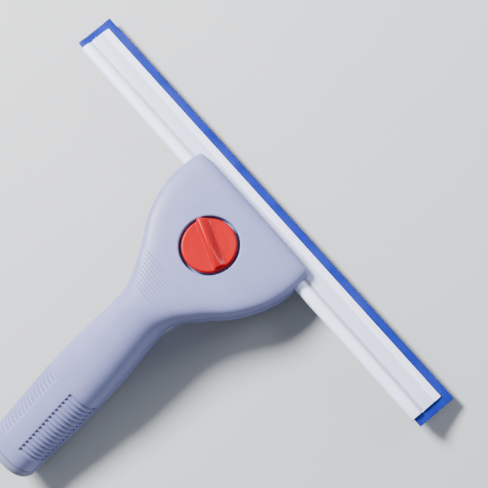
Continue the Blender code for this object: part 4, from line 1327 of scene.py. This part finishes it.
def build_socket(material):
    """Insert in the grip's end, with a threaded bore for a pole."""
    seat = post_frame(HANDLE_END, 0) @ Matrix.Rotation(-math.pi / 2, 4, "X")
    start = SHELL_END + GAP
    levels = [(start, 0.35 * MM), (start + 0.12 * MM, 0.1 * MM), (start + 0.35 * MM, 0.0)]
    for i in range(7):
        angle = 0.5 * math.pi * i / 6
        end = HANDLE_END - SOCKET_CHAMFER * (1 - math.sin(angle))
        levels.append((end, SOCKET_CHAMFER * (1 - math.cos(angle))))
    rings = [section_ring(s, inset, 120) for s, inset in levels]
    socket = new_object("pole_insert", loft("pole_insert", rings))
    outer = SOCKET_BORE_RADIUS + SOCKET_WALL
    bevel = 0.8 * MM
    wall = [(outer, COLLAR_LENGTH / 2), (outer, SOCKET_LENGTH - bevel)]
    wall.append((outer - bevel, SOCKET_LENGTH))
    depth = SOCKET_LENGTH - SOCKET_FLOOR
    crest = SOCKET_BORE_RADIUS + SOCKET_THREAD_DEPTH
    mouth = [(crest + 0.3 * MM, -CUT_ROOM), (crest + 0.3 * MM, 0.2 * MM)]
    mouth.append((SOCKET_BORE_RADIUS - 0.2 * MM, 2.2 * MM))
    bore = threaded("bore", SOCKET_BORE_RADIUS, crest, SOCKET_PITCH, -1.0 * MM, depth, 56)
    tube, lead = turned("tube", wall, 72), turned("lead", mouth, 72)
    for mesh, operation in ((tube, "UNION"), (bore, "DIFFERENCE"), (lead, "DIFFERENCE")):
        mesh.transform(seat)
        cut(socket, mesh, operation)
    hand_over(socket, "handle", "socket_plastic", material, "pole_socket")


def build_stud(size, material):
    """Threaded stud with a plain end in the knob and a neck for its clip."""
    neck = STUD_RADIUS - STUD_NECK_DEPTH
    top = STUD_HIGH.z
    plain = [
        (STUD_RADIUS - 0.15 * MM, top),
        (STUD_RADIUS, top - 0.15 * MM),
        (STUD_RADIUS, CLIP_HIGH.z + GAP),
        (neck, CLIP_HIGH.z + GAP),
        (neck, CLIP_LOW.z - GAP),
        (STUD_RADIUS - 0.05 * MM, CLIP_LOW.z - GAP),
        (STUD_RADIUS - 0.3 * MM, CLIP_LOW.z - 0.9 * MM),
    ]
    stud = new_object("clamp_screw", turned("clamp_screw", plain, 48))
    core = STUD_RADIUS - 0.5 * MM
    thread_top = CLIP_LOW.z - 0.6 * MM
    pitch = size.stud_pitch
    cut(stud, threaded("thread", core, STUD_RADIUS, pitch, STUD_LOW.z, thread_top, 40), "UNION")
    hand_over(stud, "knob", "steel", material, "clamp_stud")


def rounded_ring(inner, outer, low, high, soft):
    """(radius, z) outline of a washer with rounded edges."""
    corners = ((outer - soft, low + soft), (outer - soft, high - soft))
    corners += ((inner + soft, high - soft), (inner + soft, low + soft))
    profile = []
    for corner, start in zip(corners, (-90, 0, 90, 180)):
        profile += arc_points(corner, soft, start, start + 90, 3)
    return profile


def build_washer(material):
    """Thin washer between the knob and the recess's floor."""
    inner = STUD_RADIUS + GAP
    profile = rounded_ring(inner, WASHER_HIGH.x, WASHER_LOW.z, WASHER_HIGH.z, 0.15 * MM)
    washer = new_object("thrust_washer", ring_turned("thrust_washer", profile, 96))
    hand_over(washer, "knob", "steel", material, "knob_washer")


def build_clip(material):
    """E-clip: a sprung ring with three fingers on the stud's neck and a mouth."""
    outer = CLIP_HIGH.x
    grip = STUD_RADIUS - STUD_NECK_DEPTH + 0.25 * MM
    relieved = grip + CLIP_RELIEF
    first, last = 90 + CLIP_MOUTH, 450 - CLIP_MOUTH
    outline = arc_points((0, 0), outer, first, last, 60)
    for i in range(61):
        degrees = last - 6 - (last - first - 12) * i / 60
        angles = (first + 8, 270, last - 8)
        finger = min(abs((degrees - angle + 180) % 360 - 180) for angle in angles)
        radius = grip + (relieved - grip) * ease(finger, 14, 26)
        turn = math.radians(degrees)
        outline.append((radius * math.cos(turn), radius * math.sin(turn)))
    soft = 0.12 * MM
    low, high = CLIP_LOW.z, CLIP_HIGH.z
    rings = []
    for level, inset in ((low, soft), (low + soft, 0.0), (high - soft, 0.0), (high, soft)):
        ring = []
        for x, y in outline:
            radius = math.hypot(x, y)
            pulled = radius - inset if radius > (outer + grip) / 2 else radius + inset
            ring.append(Vector((x * pulled / radius, y * pulled / radius, level)))
        rings.append(ring)
    clip = new_object("e_clip", loft("e_clip", rings))
    hand_over(clip, "knob", "steel", material, "retaining_clip")


def build_nut(size, material):
    """Hexagon nut, chamfered on its corners and countersunk on both faces."""
    flats = NUT_HIGH.y - NUT_LOW.y
    low, high = NUT_LOW.z, NUT_HIGH.z
    nut = new_object("hex_nut", upright("hex_nut", hexagon(flats), low, high))
    corner = flats / math.sqrt(3)
    inner, outer = corner - 1.2 * MM, corner + 0.3 * MM
    cone = [(inner, low), (outer, low + NUT_CHAMFER), (outer, high - NUT_CHAMFER), (inner, high)]
    cut(nut, turned("cone", cone, 96), "INTERSECT")
    core, crest = STUD_RADIUS + 0.05 * MM, STUD_RADIUS + GAP
    past = 2 * MM
    cut(nut, threaded("bore", core, crest, size.stud_pitch, low - past, high + past, 40))
    for level, sign in ((low, -1), (high, 1)):
        lead = [(STUD_RADIUS + 0.9 * MM, level + sign * 0.1 * MM)]
        lead.append((STUD_RADIUS, level - sign * 0.8 * MM))
        cut(nut, turned("lead", lead, 48))
    hand_over(nut, "jaw", "steel", material, "clamp_nut")


def build_spring(size, material):
    """Compression spring with flattened ends."""
    wire = size.wire / 2
    radius = SPRING_RADIUS_OUT - wire
    low, high = SPRING_LOW.z + wire, SPRING_HIGH.z - wire
    steps = int(SPRING_TURNS * 48)
    centres, frames = [], []
    for i in range(steps + 1):
        share = i / steps
        angle = 2 * math.pi * SPRING_TURNS * share
        out = Vector((math.cos(angle), math.sin(angle), 0))
        lift = 0.5 * (share + ease(share, 0.12, 0.88))
        centres.append(out * radius + Vector((0, 0, low + (high - low) * lift)))
        frames.append((out, Vector((0, 0, 1))))
    spring = new_object("return_spring", tube_along("return_spring", centres, frames, wire, 16))
    hand_over(spring, None, "steel", material, "jaw_spring", sharp=50)
    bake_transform(spring)


def build_pins(material):
    """The two guide pins, with three grooves where they are pressed into the shell."""
    radius = (PIN_HIGH.x - PIN_LOW.x) / 2
    low, high = PIN_LOW.z, PIN_HIGH.z
    profile = [(radius - 0.45 * MM, high), (radius - 0.12 * MM, high - 0.12 * MM)]
    profile.append((radius, high - 0.45 * MM))
    for i in range(3):
        level = high - (1.6 + 0.9 * i) * MM
        profile += [(radius, level), (radius - 0.2 * MM, level - 0.2 * MM)]
        profile.append((radius, level - 0.4 * MM))
    profile += [(radius, low + 0.5 * MM), (radius - 0.12 * MM, low + 0.15 * MM)]
    profile.append((radius - 0.5 * MM, low))
    for side, at, _ in guide_pins():
        mesh = turned("pin", profile, 40)
        mesh.transform(at)
        pin = new_object("steel_pin_" + side, mesh)
        hand_over(pin, "handle", "steel", material, "guide_pin_" + side)


def build_pads(material):
    """Grip pads: soft-cornered strips with fine ribs on the face that holds the channel."""
    for side, body, face in (("front", "handle", -1), ("rear", "jaw", 1)):
        low, high = tool_box(side + "_pad")
        back, held = (high.z, low.z) if face < 0 else (low.z, high.z)
        thick = back - held
        soft = 0.25 * MM
        shoulder, valley = back - 0.25 * thick, held + 0.24 * thick
        outline = [(low.y, shoulder), (low.y + soft, back)]
        outline += [(high.y - soft, back), (high.y, shoulder)]
        pitch = (high.y - low.y) / PAD_RIBS
        for i in range(PAD_RIBS):
            y = high.y - pitch * i
            outline += [(y, valley), (y - 0.3 * pitch, held), (y - 0.7 * pitch, held)]
        outline.append((low.y, valley))
        stations = [(low.x, soft), (low.x + soft, 0.0), (high.x - soft, 0.0), (high.x, soft)]
        piece = side + "_grip_pad"
        pad = new_object(piece, prism_x(piece, outline, stations))
        hand_over(pad, body, "pad_rubber", material, side + "_pad")


def build_jaw(material):
    """Plate behind the channel, with a hex pocket for the nut, a boss and stiffening ribs."""
    plate_top = tool_box("rear_pad")[0].z - GAP
    bottom = JAW_LOW.z
    soft = 0.35 * MM
    rings = []
    for level, inset, lip in (
        (bottom, soft, JAW_CHAMFER),
        (bottom + soft, 0.0, JAW_CHAMFER - soft),
        (bottom + JAW_CHAMFER, 0.0, 0.0),
        (plate_top - soft, 0.0, 0.0),
        (plate_top, soft, soft),
    ):
        pull = max(lip, inset)
        stem, bar = JAW_STEM_HALF - inset, JAW_HIGH.x - pull
        right = [(stem, JAW_LOW.y + inset), (stem, JAW_SHOULDER)]
        right += [(bar, JAW_SHOULDER), (bar, JAW_HIGH.y - pull)]
        rings.append(level_ring(right + [(-x, y) for x, y in reversed(right)], level))
    jaw = new_object("jaw_plate", loft("jaw_plate", rings))
    bevel = 0.4 * MM
    boss = [(JAW_BOSS_RADIUS, bottom + 1 * MM), (JAW_BOSS_RADIUS, JAW_HIGH.z - bevel)]
    boss.append((JAW_BOSS_RADIUS - bevel, JAW_HIGH.z))
    cut(jaw, turned("boss", boss, 72), "UNION")
    near, far = JAW_RIB_REACH
    for side in (-1, 1):
        for y in (-JAW_RIB_PLACE, JAW_RIB_PLACE):
            rib = rectangle(side * near, side * far, y - JAW_RIB_HALF, y + JAW_RIB_HALF)
            cut(jaw, upright("rib", rib, plate_top - 0.5 * MM, plate_top + 1.4 * MM), "UNION")
    pocket = hexagon(NUT_HIGH.y - NUT_LOW.y + 2 * GAP)
    cut(jaw, upright("pocket", pocket, bottom - CUT_ROOM, NUT_HIGH.z + GAP))
    cut(jaw, rod(STUD_RADIUS + GAP, bottom - CUT_ROOM, CUT_ROOM))
    for _, at, radius in guide_pins():
        cut(jaw, rod(radius + GAP, bottom - CUT_ROOM, CUT_ROOM, at))
    hand_over(jaw, "jaw", "jaw_plastic", material, "clamp_jaw")


# ---------------------------------------------------------------- the stage


def camera_matrix():
    """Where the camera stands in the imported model's frame."""
    turn = Matrix.Rotation(CAMERA_ROLL, 4, "Z")
    turn = turn @ Matrix.Rotation(CAMERA_PITCH, 4, "X") @ Matrix.Rotation(CAMERA_YAW, 4, "Y")
    return TOOL @ (Matrix.Translation(CAMERA_OFFSET) @ turn).inverted()


def add_camera():
    """The camera at the stated place, made the scene's camera."""
    lens = bpy.data.cameras.new("camera")
    lens.lens = CAMERA_LENS
    lens.sensor_width = CAMERA_SENSOR
    lens.sensor_fit = "HORIZONTAL"
    lens.clip_start = 0.01
    lens.clip_end = 50
    camera = new_object("camera", lens)
    camera.matrix_world = camera_matrix()
    bpy.context.scene.camera = camera


def add_light(name, across, up, toward, size, power, tint):
    """Area light placed as seen from the camera, pointing at the tool's head."""
    view = camera_matrix().to_3x3()
    aim = TOOL @ Vector((0, -20 * MM, -10 * MM))
    offset = view @ Vector((across, up, toward))
    lamp = bpy.data.lights.new(name, "AREA")
    lamp.shape = "DISK"
    lamp.size = size
    lamp.energy = power
    lamp.color = tint
    light = new_object(name, lamp)
    turn = offset.to_track_quat("Z", "Y").to_matrix().to_4x4()
    light.matrix_world = Matrix.Translation(aim + offset) @ turn


def studio_floor(base):
    """A wide pale floor just under the object."""
    reach = 3.0
    bm = bmesh.new()
    corners = rectangle(-reach, reach, -reach, reach)
    bm.faces.new([bm.verts.new((x, y, -0.2 * MM)) for x, y in corners])
    mesh = bpy.data.meshes.new("floor")
    bm.to_mesh(mesh)
    bm.free()
    material, tree, shader = start_material("Studio floor", base, 0.7)
    if tree:
        surface = use_group(tree, "Moulded grain", Grain_Scale=700.0, Cloud_Scale=6.0)
        plug(tree, shader.inputs["Base Color"], clouded(tree, surface, base, 0.985, 1.01))
    mesh.materials.append(material)
    floor = new_object("studio_floor", mesh)


def surround(strength):
    """Even, slightly cool light from all round."""
    world = bpy.data.worlds.new("studio")
    bpy.context.scene.world = world
    world.use_nodes = True
    background = world.node_tree.nodes["Background"]
    background.inputs["Color"].default_value = (0.86, 0.91, 1.0, 1)
    background.inputs["Strength"].default_value = strength


# ---------------------------------------------------------------- operators


class SQUEEGEE_OT_shells(bpy.types.Operator):
    """Build the handle's two moulded shells"""

    bl_idname = "squeegee.shells"
    bl_label = "Handle shells"

    def execute(self, context):
        size = context.scene.squeegee_handle
        material = moulded_plastic("Grey handle plastic", tuple(size.colour), 0.44)
        build_front_shell(size, material)
        build_rear_shell(size, material)
        return {"FINISHED"}


class SQUEEGEE_OT_socket(bpy.types.Operator):
    """Build the pole socket in the grip's end"""

    bl_idname = "squeegee.socket"
    bl_label = "Pole socket"

    def execute(self, context):
        size = context.scene.squeegee_handle
        build_socket(moulded_plastic("Socket plastic", tuple(size.socket), 0.5, 2200.0, 0.16))
        return {"FINISHED"}


class SQUEEGEE_OT_knob(bpy.types.Operator):
    """Build the red clamp knob"""

    bl_idname = "squeegee.knob"
    bl_label = "Clamp knob"

    def execute(self, context):
        size = context.scene.squeegee_knob
        look = {"grain": 3000.0, "bump": 0.04, "wear": 0.12, "dust": 0.0, "shine": 0.16}
        build_knob(size, moulded_plastic("Red knob plastic", tuple(size.colour), 0.25, **look))
        return {"FINISHED"}


class SQUEEGEE_OT_channel(bpy.types.Operator):
    """Build the coated aluminium channel"""

    bl_idname = "squeegee.channel"
    bl_label = "Channel"

    def execute(self, context):
        size = context.scene.squeegee_channel
        build_channel(size, coated_aluminium(tuple(size.colour)))
        return {"FINISHED"}


class SQUEEGEE_OT_blade(bpy.types.Operator):
    """Build the rubber blade"""

    bl_idname = "squeegee.blade"
    bl_label = "Rubber blade"

    def execute(self, context):
        size = context.scene.squeegee_blade
        build_blade(size, blade_rubber("Blue blade rubber", tuple(size.colour), 0.5, 0.10))
        return {"FINISHED"}


class SQUEEGEE_OT_fasteners(bpy.types.Operator):
    """Build the shell screws, the clamp stud, its clip, washer, nut and spring, and the pins"""

    bl_idname = "squeegee.fasteners"
    bl_label = "Steel parts"

    def execute(self, context):
        size = context.scene.squeegee_hardware
        steel = plated_steel(tuple(size.steel))
        build_screws(size, steel)
        build_stud(size, steel)
        build_washer(steel)
        build_clip(steel)
        build_nut(size, steel)
        build_spring(size, steel)
        build_pins(steel)
        return {"FINISHED"}


class SQUEEGEE_OT_clamp(bpy.types.Operator):
    """Build the clamp jaw and the two grip pads"""

    bl_idname = "squeegee.clamp"
    bl_label = "Jaw and pads"

    def execute(self, context):
        size = context.scene.squeegee_hardware
        build_jaw(moulded_plastic("Jaw plastic", tuple(size.jaw), 0.5, 2400.0, 0.2, 0.15, 0.1))
        build_pads(blade_rubber("Pad rubber", tuple(size.pad), 0.75, 0.2))
        return {"FINISHED"}


class SQUEEGEE_OT_stage(bpy.types.Operator):
    """Set up the camera, the soft lights and the pale floor"""

    bl_idname = "squeegee.stage"
    bl_label = "Stage"

    def execute(self, context):
        size = context.scene.squeegee_stage
        add_camera()
        surround(size.sky)
        studio_floor(tuple(size.floor_colour))
        add_light("key_light", -0.98, 0.78, 0.72, 0.5, size.key_power, (1.0, 0.99, 0.975))
        add_light("fill_light", 0.95, 0.75, 0.8, 0.7, size.fill_power, (0.90, 0.95, 1.0))
        return {"FINISHED"}


class SQUEEGEE_PT_panel(bpy.types.Panel):
    """Sidebar list of the squeegee's pieces"""

    bl_idname = "SQUEEGEE_PT_panel"
    bl_label = "Window Squeegee"
    bl_space_type = "VIEW_3D"
    bl_region_type = "UI"
    bl_category = "Squeegee"

    def draw(self, context):
        for operator in OPERATORS:
            self.layout.operator(operator.bl_idname)
        for name in SETTINGS:
            column = self.layout.column(align=True)
            group = getattr(context.scene, name)
            for label in group.__annotations__:
                column.prop(group, label)


OPERATORS = (
    SQUEEGEE_OT_stage,
    SQUEEGEE_OT_shells,
    SQUEEGEE_OT_socket,
    SQUEEGEE_OT_knob,
    SQUEEGEE_OT_channel,
    SQUEEGEE_OT_blade,
    SQUEEGEE_OT_fasteners,
    SQUEEGEE_OT_clamp,
)
SETTINGS = {
    "squeegee_handle": SqueegeeHandleSettings,
    "squeegee_knob": SqueegeeKnobSettings,
    "squeegee_channel": SqueegeeChannelSettings,
    "squeegee_blade": SqueegeeBladeSettings,
    "squeegee_hardware": SqueegeeHardwareSettings,
    "squeegee_stage": SqueegeeStageSettings,
}


def register():
    for name, group in SETTINGS.items():
        bpy.utils.register_class(group)
        setattr(bpy.types.Scene, name, PointerProperty(type=group))
    for operator in OPERATORS:
        bpy.utils.register_class(operator)
    bpy.utils.register_class(SQUEEGEE_PT_panel)


def unregister():
    bpy.utils.unregister_class(SQUEEGEE_PT_panel)
    for operator in reversed(OPERATORS):
        bpy.utils.unregister_class(operator)
    for name, group in SETTINGS.items():
        delattr(bpy.types.Scene, name)
        bpy.utils.unregister_class(group)


def main():
    register()
    bpy.ops.squeegee.stage()
    bpy.ops.squeegee.shells()
    bpy.ops.squeegee.socket()
    bpy.ops.squeegee.knob()
    bpy.ops.squeegee.channel()
    bpy.ops.squeegee.blade()
    bpy.ops.squeegee.fasteners()
    bpy.ops.squeegee.clamp()


if __name__ == "__main__":
    main()
